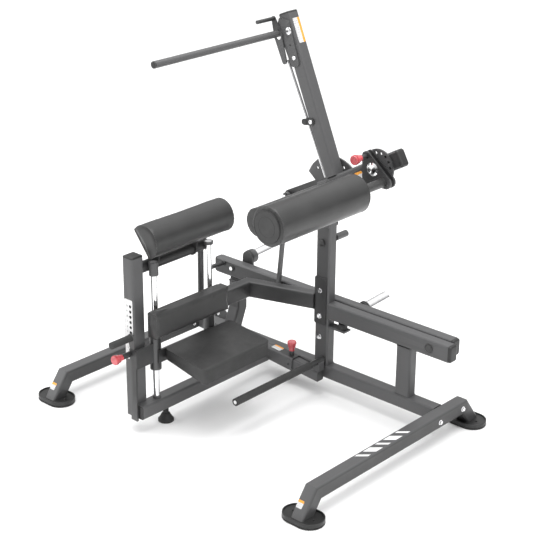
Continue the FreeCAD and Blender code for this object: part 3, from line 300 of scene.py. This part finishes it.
def print_on_white(name, head, head_share):
    """A printed label: a coloured head, and rows of small grey dashes below it."""
    material, tree, shader = new_material(name, 0.35)
    places = tree.nodes.new("ShaderNodeTexCoord")
    parts = tree.nodes.new("ShaderNodeSeparateXYZ")
    tree.links.new(places.outputs["UV"], parts.inputs["Vector"])
    is_head = tree.nodes.new("ShaderNodeMath")
    is_head.operation = "GREATER_THAN"
    is_head.inputs[1].default_value = 1 - head_share
    tree.links.new(parts.outputs["Y"], is_head.inputs[0])
    rows = tree.nodes.new("ShaderNodeTexBrick")
    rows.inputs["Color1"].default_value = (0.32, 0.32, 0.33, 1)
    rows.inputs["Color2"].default_value = (0.62, 0.62, 0.62, 1)
    rows.inputs["Mortar"].default_value = (0.86, 0.86, 0.85, 1)
    rows.inputs["Scale"].default_value = 5
    rows.inputs["Mortar Size"].default_value = 0.055
    rows.inputs["Brick Width"].default_value = 0.9
    rows.inputs["Row Height"].default_value = 0.32
    tree.links.new(places.outputs["UV"], rows.inputs["Vector"])
    mix = tree.nodes.new("ShaderNodeMix")
    mix.data_type = "RGBA"
    tree.links.new(is_head.outputs["Value"], mix.inputs["Factor"])
    tree.links.new(rows.outputs["Color"], mix.inputs["A"])
    mix.inputs["B"].default_value = (*head, 1)
    tree.links.new(mix.outputs["Result"], shader.inputs["Base Color"])
    bump(tree, shader, noise(tree, 300, 2), 0.05, 0.0001)
    return material


def paint_film(name, low, high, rough=0.35):
    """A thin even film, such as vinyl lettering stock, with faint mottling."""
    material, tree, shader = new_material(name, rough)
    tree.links.new(ramp(tree, noise(tree, 90, 4), low, high), shader.inputs["Base Color"])
    bump(tree, shader, noise(tree, 420, 2), 0.08, 0.0002)
    return material


COAT = coated_steel()
CHROME = chrome()
VINYL = vinyl("pad_vinyl", 0.030)
PIPING = vinyl("piping_vinyl", 0.036)
PLASTIC = moulded("moulded_plastic", 0.018, 0.42)
RUBBER = moulded("moulded_rubber", 0.018, 0.66, 260, 0.0006)
RED = red_knob()
TREAD = tread()
BOARD = stained_board()
STEEL = dark_steel()
LABEL = print_on_white("label_print", (0.86, 0.36, 0.04), 0.3)
SCALE_FILM = paint_film("scale_film", grey(0.72), grey(0.82))
MARK_FILM = paint_film("mark_film", grey(0.78), grey(0.86))
INK = paint_film("printed_ink", grey(0.03), grey(0.05))
# Dark washers and screw heads; the same dark material also paints the shade in the roller cover's grooves.
DARK_STEEL_AND_GROOVE_SHADE = moulded("dark_washer_and_groove_shade", 0.012, 0.5)

BY_SLOT = {
    "painted_frame": COAT, "chrome": CHROME, "upholstery": VINYL, "black_plastic": PLASTIC,
    "black_rubber": RUBBER, "red_knob": RED, "step_surface": TREAD, "pad_board": BOARD, "dark_steel": STEEL,
}


def dress_nodes():
    """Gives every node the material of its slot."""
    for part in frame["record"]["subparts"]:
        mesh = nodes[part["node"]].data
        mesh.materials.clear()
        mesh.materials.append(BY_SLOT[part["material_slot"]])


# ---- shared mesh work ----

def add_object(name, mesh, material, body, slot):
    """Adds a mesh with one material, riding on a body; the slot argument is not used."""
    mesh.materials.clear()
    mesh.materials.append(material)
    item = bpy.data.objects.new(name, mesh)
    bpy.context.collection.objects.link(item)
    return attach(item, body)


def from_bmesh(name, shape, material, body, slot, smooth=True):
    """Adds a finished shape, smooth or flat, riding on a body."""
    mesh = bpy.data.meshes.new(name)
    shape.to_mesh(mesh)
    shape.free()
    for face in mesh.polygons:
        face.use_smooth = smooth
    return add_object(name, mesh, material, body, slot)


def body_of(node):
    """The body that a node belongs to."""
    return next(name for name, held in frame["record"]["behaviour"]["bodies"].items() if node in held)


def slot_of(node):
    """The material slot that the record gives a node."""
    return next(part["material_slot"] for part in frame["record"]["subparts"] if part["node"] == node)


def evaluated_mesh(item):
    """A new mesh of an object with its modifiers worked in."""
    graph = bpy.context.evaluated_depsgraph_get()
    return bpy.data.meshes.new_from_object(item.evaluated_get(graph))


def soften(node, width, segments=3, angle=35):
    """Stands for a moulded node with its sharp edges rounded over."""
    mesh = nodes[node].data.copy()
    shape = bmesh.new()
    shape.from_mesh(mesh)
    bmesh.ops.remove_doubles(shape, verts=shape.verts, dist=1e-6)
    bmesh.ops.dissolve_limit(shape, angle_limit=math.radians(0.6), verts=shape.verts, edges=shape.edges)
    shape.to_mesh(mesh)
    shape.free()
    item = bpy.data.objects.new(node + "_blank", mesh)
    bpy.context.collection.objects.link(item)
    bevel = item.modifiers.new("bevel", "BEVEL")
    bevel.width = width
    bevel.segments = segments
    bevel.limit_method = "ANGLE"
    bevel.angle_limit = math.radians(angle)
    rounded = evaluated_mesh(item)
    bpy.data.objects.remove(item)
    for face in rounded.polygons:
        face.use_smooth = True
    piece = add_object(node + "_moulding", rounded, BY_SLOT[slot_of(node)], body_of(node), slot_of(node))
    rounded.set_sharp_from_angle(angle=math.radians(38))
    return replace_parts(piece, node)


def islands(shape):
    """The vertices of each separate solid in a shape."""
    left = set(shape.verts)
    while left:
        found = {left.pop()}
        to_visit = list(found)
        while to_visit:
            vertex = to_visit.pop()
            for edge in vertex.link_edges:
                other = edge.other_vert(vertex)
                if other not in found:
                    found.add(other)
                    to_visit.append(other)
        left -= found
        yield found


def crown(shape, island, width, steps):
    """Rounds over the rim of one cap's outer face, the one that looks away from the machine's middle."""
    faces = {face for vertex in island for face in vertex.link_faces}
    largest = max(face.calc_area() for face in faces)
    ends = [face for face in faces if face.calc_area() > 0.9 * largest]
    outer = max(ends, key=lambda face: (face.calc_center_median() - MACHINE_MIDDLE).dot(face.normal))
    normal = outer.normal.copy()
    rim = list(outer.verts)
    places = [vertex.co.copy() for vertex in rim]
    depth = max((places[0] - vertex.co).dot(normal) for vertex in island)
    reach = min(width, 0.8 * depth)
    outward = []
    for index, place in enumerate(places):
        before = (place - places[index - 1]).normalized().cross(normal)
        after = (places[(index + 1) % len(places)] - place).normalized().cross(normal)
        outward.append((before + after) / (1 + before.dot(after)))
    shape.faces.remove(outer)
    for vertex in rim:
        vertex.co -= normal * reach
    for step in range(1, steps + 1):
        angle = math.radians(90 * step / steps)
        inset = reach * (1 - math.cos(angle))
        drop = reach * (1 - math.sin(angle))
        ring = [shape.verts.new(place - side * inset - normal * drop) for place, side in zip(places, outward)]
        for index in range(len(ring)):
            following = (index + 1) % len(ring)
            shape.faces.new((rim[index], rim[following], ring[following], ring[index]))
        rim = ring
    shape.faces.new(rim)


def crowned_caps(node, width, steps=6):
    """Stands for a set of tube caps, with the outer rim of each rounded over."""
    shape = bmesh.new()
    shape.from_mesh(nodes[node].data)
    bmesh.ops.remove_doubles(shape, verts=shape.verts, dist=1e-6)
    bmesh.ops.dissolve_limit(shape, angle_limit=math.radians(0.6), verts=shape.verts, edges=shape.edges)
    for island in list(islands(shape)):
        crown(shape, island, width, steps)
    piece = from_bmesh(node + "_moulding", shape, BY_SLOT[slot_of(node)], body_of(node), slot_of(node))
    piece.data.set_sharp_from_angle(angle=math.radians(38))
    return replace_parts(piece, node)


def facing(normal, up=UP):
    """A turn that sends +Z along normal, and +Y as near to up as it can."""
    normal = normal.normalized()
    across = up.cross(normal)
    if across.length < 1e-4:
        across = Vector((0, 1, 0)).cross(normal)
    across.normalize()
    return Matrix((across, normal.cross(across), normal)).transposed()


def turned_rings(shape, rings, sides, turn, place):
    """Joins rings of (radius, along) into one closed turned skin."""
    loops = []
    for radius, along in rings:
        loop = []
        for step in range(sides):
            angle = 2 * math.pi * step / sides
            spot = Vector((radius * math.cos(angle), radius * math.sin(angle), along))
            loop.append(shape.verts.new(turn @ spot + place))
        loops.append(loop)
    for lower, upper in zip(loops, loops[1:]):
        for step in range(sides):
            following = (step + 1) % sides
            shape.faces.new((lower[step], lower[following], upper[following], upper[step]))
    shape.faces.new(loops[0][::-1])
    shape.faces.new(loops[-1])


def slab(shape, lower, upper):
    """Closes two matching outlines into a solid, and gives back its upper face."""
    shape.faces.new(lower[::-1])
    top = shape.faces.new(upper)
    for step in range(len(lower)):
        following = (step + 1) % len(lower)
        shape.faces.new((lower[step], lower[following], upper[following], upper[step]))
    return top


def rounded_rectangle(width, height, corner, steps):
    """The outline of a rectangle round the origin, with an arc of a few steps at each corner."""
    outline = []
    for sx, sy, begin in ((1, 1, 0), (-1, 1, 90), (-1, -1, 180), (1, -1, 270)):
        for step in range(steps + 1):
            angle = math.radians(begin + 90 / steps * step)
            outline.append((sx * (width / 2 - corner) + corner * math.cos(angle),
                            sy * (height / 2 - corner) + corner * math.sin(angle)))
    return outline


def hex_bolt(name, place, normal, radius, body, washer=CHROME):
    """A chamfered hexagon head on a domed washer."""
    turn = facing(normal)
    skin = bmesh.new()
    turned_rings(skin, [(radius * 1.5, 0.0), (radius * 1.5, radius * 0.16), (radius * 1.3, radius * 0.28),
                        (radius * 0.8, radius * 0.3)], 32, turn, place)
    from_bmesh(name + "_washer", skin, washer, body, "chrome")
    head = bmesh.new()
    turned_rings(head, [(radius, radius * 0.28), (radius, radius * 0.85), (radius * 0.84, radius * 1.02),
                        (radius * 0.4, radius * 1.05)], 6, turn, place)
    return from_bmesh(name + "_head", head, CHROME, body, "chrome", smooth=False)


def cap_screw(name, place, normal, radius, body, material=CHROME):
    """A round socket-head screw with a sunk hexagon."""
    turn = facing(normal)
    skin = bmesh.new()
    turned_rings(skin, [(radius, 0.0), (radius, radius * 0.5), (radius * 0.86, radius * 0.66),
                        (radius * 0.5, radius * 0.68), (radius * 0.44, radius * 0.3),
                        (radius * 0.1, radius * 0.28)], 24, turn, place)
    return from_bmesh(name, skin, material, body, "chrome")


def line_tube(name, points, radius, material, body, slot, closed=True):
    """A thin round bead along points, such as piping or a weld."""
    curve = bpy.data.curves.new(name + "_line", "CURVE")
    curve.dimensions = "3D"
    curve.bevel_depth = radius
    curve.bevel_resolution = 3
    curve.use_fill_caps = not closed
    spline = curve.splines.new("POLY")
    spline.points.add(len(points) - 1)
    for spot, place in zip(spline.points, points):
        spot.co = (*place, 1)
    spline.use_cyclic_u = closed
    holder = bpy.data.objects.new(name + "_holder", curve)
    bpy.context.collection.objects.link(holder)
    mesh = evaluated_mesh(holder)
    bpy.data.objects.remove(holder)
    for face in mesh.polygons:
        face.use_smooth = True
    return add_object(name, mesh, material, body, slot)


def end_outline(node, y_side):
    """The outline of a node's flat end, in order round its middle."""
    low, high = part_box(node)
    level = low.y if y_side < 0 else high.y
    spots = {(round(v.co.x, 5), round(v.co.z, 5)) for v in nodes[node].data.vertices
             if abs(v.co.y - level) < 1e-5}
    centre = Vector((sum(x for x, z in spots), sum(z for x, z in spots))) / len(spots)
    ordered = sorted(spots, key=lambda spot: math.atan2(spot[1] - centre.y, spot[0] - centre.x))
    return [Vector((x, level, z)) for x, z in ordered]


def circle_points(place, radius, count=72):
    """A ring of places round an axis along Y."""
    return [place + Vector((radius * math.cos(2 * math.pi * step / count), 0,
                            radius * math.sin(2 * math.pi * step / count))) for step in range(count)]


def seated(piece, points):
    """The places on a piece's skin that are nearest to the points."""
    return [piece.closest_point_on_mesh(point)[1] for point in points]


# ---- padded pieces ----

def remeshed(node, voxel):
    """A copy of a node's skin, made of even small faces."""
    item = bpy.data.objects.new(node + "_foam", nodes[node].data.copy())
    bpy.context.collection.objects.link(item)
    even = item.modifiers.new("even", "REMESH")
    even.mode = "VOXEL"
    even.voxel_size = voxel
    mesh = evaluated_mesh(item)
    item.modifiers.clear()
    item.data = mesh
    return item


def puffed(item, shrink, cap, held):
    """Cloth blown up from a slightly smaller skin; held(place) keeps a point where the node has it."""
    start = [vertex.co.copy() for vertex in item.data.vertices]
    normals = [vertex.normal.copy() for vertex in item.data.vertices]
    small = [place - normal * shrink for place, normal in zip(start, normals)]
    for vertex, place in zip(item.data.vertices, small):
        vertex.co = place
    cloth = item.modifiers.new("cloth", "CLOTH")
    cloth.settings.quality = 5
    cloth.settings.mass = 0.3
    cloth.settings.tension_stiffness = 20
    cloth.settings.compression_stiffness = 20
    cloth.settings.bending_stiffness = 1
    cloth.settings.use_pressure = True
    cloth.settings.uniform_pressure_force = 4
    cloth.settings.effector_weights.gravity = 0
    cloth.point_cache.frame_start = 1
    cloth.point_cache.frame_end = 20
    for step in range(1, 21):
        bpy.context.scene.frame_set(step)
    blown = evaluated_mesh(item)
    item.modifiers.clear()
    for vertex, place in zip(blown.vertices, small):
        move = vertex.co - place
        vertex.co = place + move * min(1, cap / max(move.length, 1e-9))
    item.data = blown
    bpy.context.scene.frame_set(1)
    for vertex, place in zip(item.data.vertices, start):
        if held(place):
            vertex.co = place
    finer = item.modifiers.new("finer", "SUBSURF")
    finer.levels = 1
    mesh = evaluated_mesh(item)
    bpy.data.objects.remove(item)
    for face in mesh.polygons:
        face.use_smooth = True
    return mesh


def padded_piece(node, voxel, shrink, cap, held):
    """Stands for a padded node with a cover of even small faces that is blown up."""
    mesh = puffed(remeshed(node, voxel), shrink, cap, held)
    piece = add_object(node + "_cushion", mesh, VINYL, body_of(node), "upholstery")
    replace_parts(piece, node)
    return piece


def torso_pad():
    """A D-shaped roll with a crowned cover and piping round both ends."""
    low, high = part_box("torso_pad")
    board_low, board_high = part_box("torso_pad_board")
    board = (board_low + board_high) / 2
    back = (board - (low + high) / 2)
    back = Vector((back.x, 0, back.z)).normalized()
    reach = max(place.co.dot(back) for place in nodes["torso_pad"].data.vertices)
    pad = padded_piece("torso_pad", voxel=0.0048, shrink=0.002, cap=0.004,
                       held=lambda place: place.dot(back) > reach - 0.002)
    for side, label in ((-1, "near"), (1, "far")):
        outline = end_outline("torso_pad", side)
        inward = [place - Vector((0, side * 0.0035, 0)) for place in outline]
        line_tube(f"torso_pad_piping_{label}", seated(pad, inward), 0.0014, PIPING, "frame", "upholstery")


def shin_pad():
    """A firm block: rounded edges, with a seam round each end panel."""
    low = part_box("shin_pad")[0]
    pad = padded_piece("shin_pad", voxel=0.0046, shrink=0.0018, cap=0.0036,
                       held=lambda place: place.x < low.x + 0.003)
    for side, label in ((-1, "near"), (1, "far")):
        outline = end_outline("shin_pad", side)
        inward = [place - Vector((0, side * 0.004, 0)) for place in outline]
        line_tube(f"shin_pad_seam_{label}", seated(pad, inward), 0.0010, PIPING, "carriage", "upholstery")


def foam_roller(node, radius, bore):
    """A sleeve of foam in a vinyl cover, piped round both ends."""
    centre = middle(node)

    def held(place):
        return math.hypot(place.x - centre.x, place.z - centre.z) < bore

    sleeve = padded_piece(node, voxel=0.005, shrink=0.002, cap=0.004, held=held)
    low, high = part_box(node)
    for y, label in ((low.y + 0.004, "near"), (high.y - 0.004, "far")):
        place = Vector((centre.x, y, centre.z))
        line_tube(f"{node}_piping_{label}", seated(sleeve, circle_points(place, radius)), 0.0014, PIPING,
                  body_of(node), "upholstery")


def roller_end_grooves():
    """The front roller's near cover: a groove line near its rim and a fine ring nearer the middle, drawn as
    thin dark beads: painted shade in the grooves.
    """
    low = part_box("front_roller_ends")[0]
    centre = middle("front_roller_ends")
    face = Vector((centre.x, low.y, centre.z))
    # Painted shade: each groove is a thin dark bead that stands for the shade inside it.
    for radius, bead, label in ((0.0632, 0.0008, "rim"), (0.0400, 0.0005, "ring")):
        line_tube(f"roller_cover_{label}", circle_points(face, radius), bead, DARK_STEEL_AND_GROOVE_SHADE, "front_roller",
                  "black_plastic")


# ---- labels and the mark ----

def film(name, centre, normal, up, width, height, material, body, slot="black_plastic"):
    """A thin rounded sheet stuck on a face, with its own 0 to 1 print space."""
    turn = facing(normal, up)
    shape = bmesh.new()
    outline = rounded_rectangle(width, height, corner=min(width, height) * 0.12, steps=4)
    levels = []
    for lift in (0.0, LABEL_THICK):
        levels.append([shape.verts.new(turn @ Vector((x, y, lift)) + centre) for x, y in outline])
    top = slab(shape, *levels)
    layer = shape.loops.layers.uv.new("print")
    for loop, (x, y) in zip(top.loops, outline):
        loop[layer].uv = (x / width + 0.5, y / height + 0.5)
    return from_bmesh(name, shape, material, body, slot, smooth=False)


def labels():
    """The printed labels on the two near legs, the tall arm, the boom and the rail's sleeve."""
    out_of_leg = Vector((0, -math.cos(LEG_LEAN), math.sin(LEG_LEAN)))
    up_leg = Vector((0, math.sin(LEG_LEAN), math.cos(LEG_LEAN)))
    for node, label in (("front_stabiliser", "front"), ("rear_stabiliser", "rear")):
        corner = at(0, STABILISER_ENDS[0], STABILISER_Z)
        corner.x = middle(node).x - 0.011
        centre = corner - up_leg * 0.066 + out_of_leg * (HALF_TUBE + LIFT_OFF)
        film(f"leg_label_{label}", centre, out_of_leg, up_leg, 0.028, 0.032, LABEL, "frame")
    out_of_arm = Vector((math.cos(ARM_TILT), 0, math.sin(ARM_TILT)))
    place = arm_at(520, -BASE_TUBE / 2 - 0.1, 3)
    film("arm_label", place, out_of_arm, -NEAR, 0.105, 0.04, LABEL, "user_arm")
    up_boom = Vector((-math.sin(BOOM_TILT), 0, math.cos(BOOM_TILT)))
    film("boom_label", boom_at(-78, -5, -24.6), NEAR, up_boom, 0.044, 0.036, LABEL, "user_arm")
    up_rail = Vector((math.sin(RAIL_TILT), 0, math.cos(RAIL_TILT)))
    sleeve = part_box("rail_sleeve")
    place = Vector((sleeve[0].x + 0.034, middle("foot_rail").y, 0))
    drop = (place.x - at(92, 0, 0).x) * math.tan(RAIL_TILT)
    place.z = at(0, 0, 91).z - drop + 0.0321 / math.cos(RAIL_TILT)
    film("sleeve_label", place, up_rail, Vector((0, 1, 0)), 0.05, 0.034, LABEL, "frame")


def height_scale():
    """The white strip beside the height holes: it is punched at each hole and numbered."""
    face_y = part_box("mast_post")[0].y
    strip = film("height_strip_blank", Vector((at(STRIP_X, 0, 0).x, face_y - LIFT_OFF, at(0, 0, 466).z)),
                 NEAR, UP, 0.047, 0.268, SCALE_FILM, "frame")
    punches = bmesh.new()
    for step in range(HOLE_COUNT):
        place = at(HOLE_X, 0, FIRST_HOLE_Z + step * HOLE_PITCH)
        place.y = face_y + 0.005
        turned_rings(punches, [(0.0068, 0), (0.0068, 0.01)], 24, facing(NEAR), place)
    mesh = bpy.data.meshes.new("punches")
    punches.to_mesh(mesh)
    punches.free()
    tool = bpy.data.objects.new("punch_tool", mesh)
    bpy.context.collection.objects.link(tool)
    cut = strip.modifiers.new("punch", "BOOLEAN")
    cut.operation = "DIFFERENCE"
    cut.solver = "EXACT"
    cut.object = tool
    bpy.context.view_layer.update()
    punched = evaluated_mesh(strip)
    strip.modifiers.clear()
    strip.data = punched
    strip.name = "height_strip"
    bpy.data.objects.remove(tool)
    for step in range(HOLE_COUNT):
        number(step, face_y)


def number(step, face_y):
    """The plain figure beside one height hole."""
    curve = bpy.data.curves.new(f"scale_figure_{step}", "FONT")
    curve.body = str(step + 1)
    curve.size = 0.012
    curve.align_x = "CENTER"
    curve.align_y = "CENTER"
    curve.extrude = 0.00005
    holder = bpy.data.objects.new(f"scale_holder_{step}", curve)
    bpy.context.collection.objects.link(holder)
    place = at(FIGURE_X, 0, FIRST_HOLE_Z + step * HOLE_PITCH)
    place.y = face_y - LIFT_OFF - LABEL_THICK
    mesh = evaluated_mesh(holder)
    bpy.data.objects.remove(holder)
    mesh.transform(Matrix.Translation(place) @ facing(NEAR).to_4x4())
    add_object(f"scale_number_{step + 1}", mesh, INK, "frame", "black_plastic")


def side_mark():
    """A plain mark of slanted bars on the front stabiliser's top."""
    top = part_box("front_stabiliser")[1].z
    middle_x = middle("front_stabiliser").x
    slant = 0.018
    for step, length in enumerate((0.030, 0.075, 0.030, 0.075, 0.030)):
        centre = Vector((middle_x, at(0, -405, 0).y + (step - 2) * 0.064, top + LIFT_OFF))
        shape = bmesh.new()
        levels = []
        for lift in (0.0, LABEL_THICK):
            corners = []
            for sx, sy in ((-1, -1), (1, -1), (1, 1), (-1, 1)):
                spot = Vector((sx * 0.019, sy * length / 3.4 + sx * slant, lift))
                corners.append(shape.verts.new(centre + spot))
            levels.append(corners)
        slab(shape, *levels)
        from_bmesh(f"side_mark_{step}", shape, MARK_FILM, "frame", "painted_frame", smooth=False)


# ---- fasteners, beads, treads and ends ----

def bolts():
    """The bolt and screw heads that hold the small parts on."""
    hex_bolt("bracket_bolt_top", at(-139, -36, 1588), NEAR, 0.0105, "user_arm")
    hex_bolt("lever_stop_bolt", at(-530, 34, 399), NEAR, 0.0105, "weight_lever", DARK_STEEL_AND_GROOVE_SHADE)
    cap_screw("bracket_screw_low", at(-104, -36, 1481), NEAR, 0.0095, "user_arm")
    cap_screw("guide_screw", at(-8, -36, 1226), NEAR, 0.0095, "user_arm")
    cap_screw("link_nut", at(-183, 0.5, 842), NEAR, 0.011, "sector")
    cap_screw("sleeve_screw", at(-70, -88.4, 104), NEAR, 0.004, "frame", DARK_STEEL_AND_GROOVE_SHADE)
    cap_screw("bracket_dimple", arm_at(470, 6, -36), NEAR, 0.003, "user_arm", DARK_STEEL_AND_GROOVE_SHADE)
    for node, sign, label in (("front_stabiliser", -1, "front"), ("rear_stabiliser", 1, "rear")):
        for y, side in ((-60, "near"), (100, "far")):
            place = at(0, y, STABILISER_Z)
            place.x = middle(node).x + sign * HALF_TUBE
            cap_screw(f"{label}_flange_nut_{side}", place, Vector((sign, 0, 0)), 0.008, "frame")


def foot_screws():
    """Two screw heads in the tray of each foot."""
    for index, place in enumerate(foot_places()):
        for offset, side in ((-0.052, "left"), (0.052, "right")):
            spot = Vector((place.x + offset, place.y, at(0, 0, 18).z))
            cap_screw(f"foot_screw_{index}_{side}", spot, UP, 0.0045, "frame", DARK_STEEL_AND_GROOVE_SHADE)


def foot_places():
    """The middle of each foot, on the floor."""
    places = []
    for node in ("front_stabiliser", "rear_stabiliser"):
        for y in (STABILISER_ENDS[0] - FOOT_REACH, STABILISER_ENDS[1] + FOOT_REACH):
            spot = at(0, y, 0)
            spot.x = middle(node).x
            places.append(spot)
    return places


def oval_rim(place, across, deep, count):
    """Evenly spaced (point, outward) pairs round a rounded oval in plan."""
    radius = deep / 2
    straight = across - deep
    length = 2 * straight + 2 * math.pi * radius
    pairs = []
    for step in range(count):
        run = length * step / count
        if run < straight:
            pairs.append((Vector((run - straight / 2, radius, 0)), Vector((0, 1, 0))))
        elif run < straight + math.pi * radius:
            angle = math.pi / 2 - (run - straight) / radius
            outward = Vector((math.cos(angle), math.sin(angle), 0))
            pairs.append((Vector((straight / 2, 0, 0)) + outward * radius, outward))
        elif run < 2 * straight + math.pi * radius:
            pairs.append((Vector((straight / 2 - (run - straight - math.pi * radius), -radius, 0)),
                          Vector((0, -1, 0))))
        else:
            angle = -math.pi / 2 - (run - 2 * straight - math.pi * radius) / radius
            outward = Vector((math.cos(angle), math.sin(angle), 0))
            pairs.append((Vector((-straight / 2, 0, 0)) + outward * radius, outward))
    return [(place + spot, outward) for spot, outward in pairs]


def foot_treads():
    """The moulded teeth round the edge of each foot's sole."""
    for index, place in enumerate(foot_places()):
        shape = bmesh.new()
        for spot, outward in oval_rim(place, 0.1755, 0.1175, 62):
            side = Vector((-outward.y, outward.x, 0))
            levels = []
            for height, width, reach in ((0.0002, 0.0021, 0.0014), (0.0065, 0.0026, 0.0022)):
                corners = [spot + side * (sx * width) + outward * (sy * reach) + Vector((0, 0, height))
                           for sx, sy in ((-1, -1), (1, -1), (1, 1), (-1, 1))]
                levels.append([shape.verts.new(corner) for corner in corners])
            slab(shape, *levels)
        bmesh.ops.recalc_face_normals(shape, faces=shape.faces)
        from_bmesh(f"foot_tread_{index}", shape, RUBBER, "frame", "black_rubber", smooth=False)


def weld_beads():
    """Beads round both ends of the front post and the foot of the column, and up the brace's joint."""
    column_x = at(COLUMN_X, 0, 0).x
    post = middle("front_post")
    post_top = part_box("front_post")[1].z - 0.0005
    beam = middle("base_beam")
    beam_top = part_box("base_beam")[1].z + 0.0005
    outline = rounded_rectangle(UPRIGHT_DEEP, UPRIGHT_WIDE, corner=0.007, steps=3)
    for name, x, y, z, bead in (("column_weld", column_x, beam.y, beam_top, 0.0021),
                                ("front_post_weld", post.x, beam.y, beam_top, 0.0021),
                                ("front_post_weld_top", post.x, post.y, post_top, 0.0019)):
        points = [Vector((x + deep, y + wide, z)) for deep, wide in outline]
        line_tube(name, points, bead, COAT, "frame", "painted_frame")
    x = column_x - UPRIGHT_DEEP / 2
    y = middle("column").y - 0.035
    z = middle("rear_brace").z
    points = [Vector((x, y, z + side)) for side in (-0.036, 0.036)]
    line_tube("brace_weld_side", points, 0.0017, COAT, "frame", "painted_frame", closed=False)


def round_cap(name, place, normal, radius, body, material=PLASTIC, rise=0.3):
    """A domed end plug."""
    rings = [(radius, -0.002), (radius, 0.0012)]
    for step in range(1, 7):
        angle = math.radians(15 * step)
        rings.append((max(radius * math.cos(angle), radius * 0.05),
                      0.0012 + radius * rise * math.sin(angle)))
    skin = bmesh.new()
    turned_rings(skin, rings, 40, facing(normal), place)
    return from_bmesh(name, skin, material, body, "black_plastic")


def bar_ends():
    """The pale bore in the foot bar's end, and the plug in the handle bar."""
    place = middle("foot_bar_grip")
    place.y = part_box("foot_bar_grip")[0].y
    round_cap("foot_bar_end", place, NEAR, 0.0082, "foot_rail", MARK_FILM, 0.2)
    place = middle("handle_bar")
    place.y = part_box("handle_bar")[0].y + 0.0018
    round_cap("handle_end", place, NEAR, 0.0146, "user_arm", PLASTIC, 0.1)


def knob_rings():
    """Fine turned grooves round each red knob."""
    for node, axis in (("rail_pin", UP), ("carriage_pin", NEAR), ("roller_pin", NEAR)):
        low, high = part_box(node)
        centre = (low + high) / 2
        tip = centre + axis * ((high - low).dot(Vector((abs(axis.x), abs(axis.y), abs(axis.z)))) / 2)
        turn = facing(axis)
        for step in range(3):
            place = tip - axis * (0.006 + 0.0035 * step)
            points = []
            for degrees in range(0, 360, 10):
                angle = math.radians(degrees)
                points.append(place + turn @ Vector((0.02 * math.cos(angle), 0.02 * math.sin(angle), 0)))
            line_tube(f"{node}_groove_{step}", points, 0.0005, RED, node, "red_knob")


# ---- studio ----

def pale_floor():
    """A plain wide floor."""
    shape = bmesh.new()
    bmesh.ops.create_grid(shape, x_segments=2, y_segments=2, size=60)
    mesh = bpy.data.meshes.new("floor")
    shape.to_mesh(mesh)
    shape.free()
    floor = bpy.data.objects.new("floor", mesh)
    bpy.context.collection.objects.link(floor)
    floor.location.z = -0.0005
    material, tree, shader = new_material("studio_floor", 0.9)
    tree.links.new(ramp(tree, noise(tree, 1.5, 2), grey(0.93), grey(0.95)), shader.inputs["Base Color"])
    mesh.materials.append(material)


def white_sky():
    """A white sky that is dim at the horizon and bright overhead."""
    world = bpy.data.worlds.new("studio")
    world.use_nodes = True
    tree = world.node_tree
    places = tree.nodes.new("ShaderNodeTexCoord")
    parts = tree.nodes.new("ShaderNodeSeparateXYZ")
    tree.links.new(places.outputs["Generated"], parts.inputs["Vector"])
    rise = tree.nodes.new("ShaderNodeMapRange")
    rise.inputs["From Min"].default_value = 0.05
    rise.inputs["From Max"].default_value = 0.95
    rise.inputs["To Min"].default_value = 0.2
    rise.inputs["To Max"].default_value = 1.7
    tree.links.new(parts.outputs["Z"], rise.inputs["Value"])
    tree.nodes["Background"].inputs["Color"].default_value = (1, 1, 1, 1)
    tree.links.new(rise.outputs["Result"], tree.nodes["Background"].inputs["Strength"])
    bpy.context.scene.world = world
    bpy.context.scene.view_settings.view_transform = "Standard"


def lamps():
    """Three large soft lamps, aimed at a point 0.7 m up the machine."""
    for name, place, size, power in (("top", (0.3, -0.4, 4.2), 3.2, 100),
                                     ("left", (-3.6, -2.6, 2.6), 2.2, 45),
                                     ("right", (4.2, 0.6, 2.2), 2.4, 30)):
        light = bpy.data.lights.new(name + "_light", "AREA")
        light.size = size
        light.energy = power
        lamp = bpy.data.objects.new(name + "_lamp", light)
        lamp.location = place
        aim = Vector((0, 0, 0.7)) - Vector(place)
        lamp.rotation_euler = aim.to_track_quat("-Z", "Y").to_euler()
        bpy.context.collection.objects.link(lamp)


def camera():
    """The view from the user's front left, looking down on the machine."""
    pitch, yaw, roll = (math.radians(angle) for angle in (22.405, 42.147, 0.395))
    ahead = Vector((-math.sin(yaw) * math.cos(pitch), math.cos(yaw) * math.cos(pitch), -math.sin(pitch)))
    across = Vector((math.cos(yaw), math.sin(yaw), 0))
    upward = across.cross(ahead)
    right = across * math.cos(roll) + upward * math.sin(roll)
    top = upward * math.cos(roll) - across * math.sin(roll)
    lens = bpy.data.cameras.new("view")
    lens.lens = 99.30
    lens.sensor_width = 36
    eye = bpy.data.objects.new("view", lens)
    eye.matrix_world = Matrix.Translation(at(3806.6, -4520.1, 3000)) @ Matrix(
        (right, top, -ahead)).transposed().to_4x4()
    bpy.context.collection.objects.link(eye)
    bpy.context.scene.camera = eye


camera()
pale_floor()
white_sky()
lamps()
dress_nodes()
for soft_node, edge_width in (("step_plate", 0.0018), ("foot_shells", 0.0016), ("side_plate", 0.0012),
                              ("torso_pad_board", 0.0012)):
    soften(soft_node, edge_width)
for cap_node, rim_width in (("frame_caps", 0.0088), ("arm_caps", 0.0095), ("lever_caps", 0.0088)):
    crowned_caps(cap_node, rim_width)
torso_pad()
shin_pad()
foam_roller("front_roller", 0.080, 0.030)
foam_roller("rear_roller", 0.060, 0.024)
roller_end_grooves()
labels()
height_scale()
side_mark()
bolts()
foot_screws()
foot_treads()
weld_beads()
bar_ends()
knob_rings()
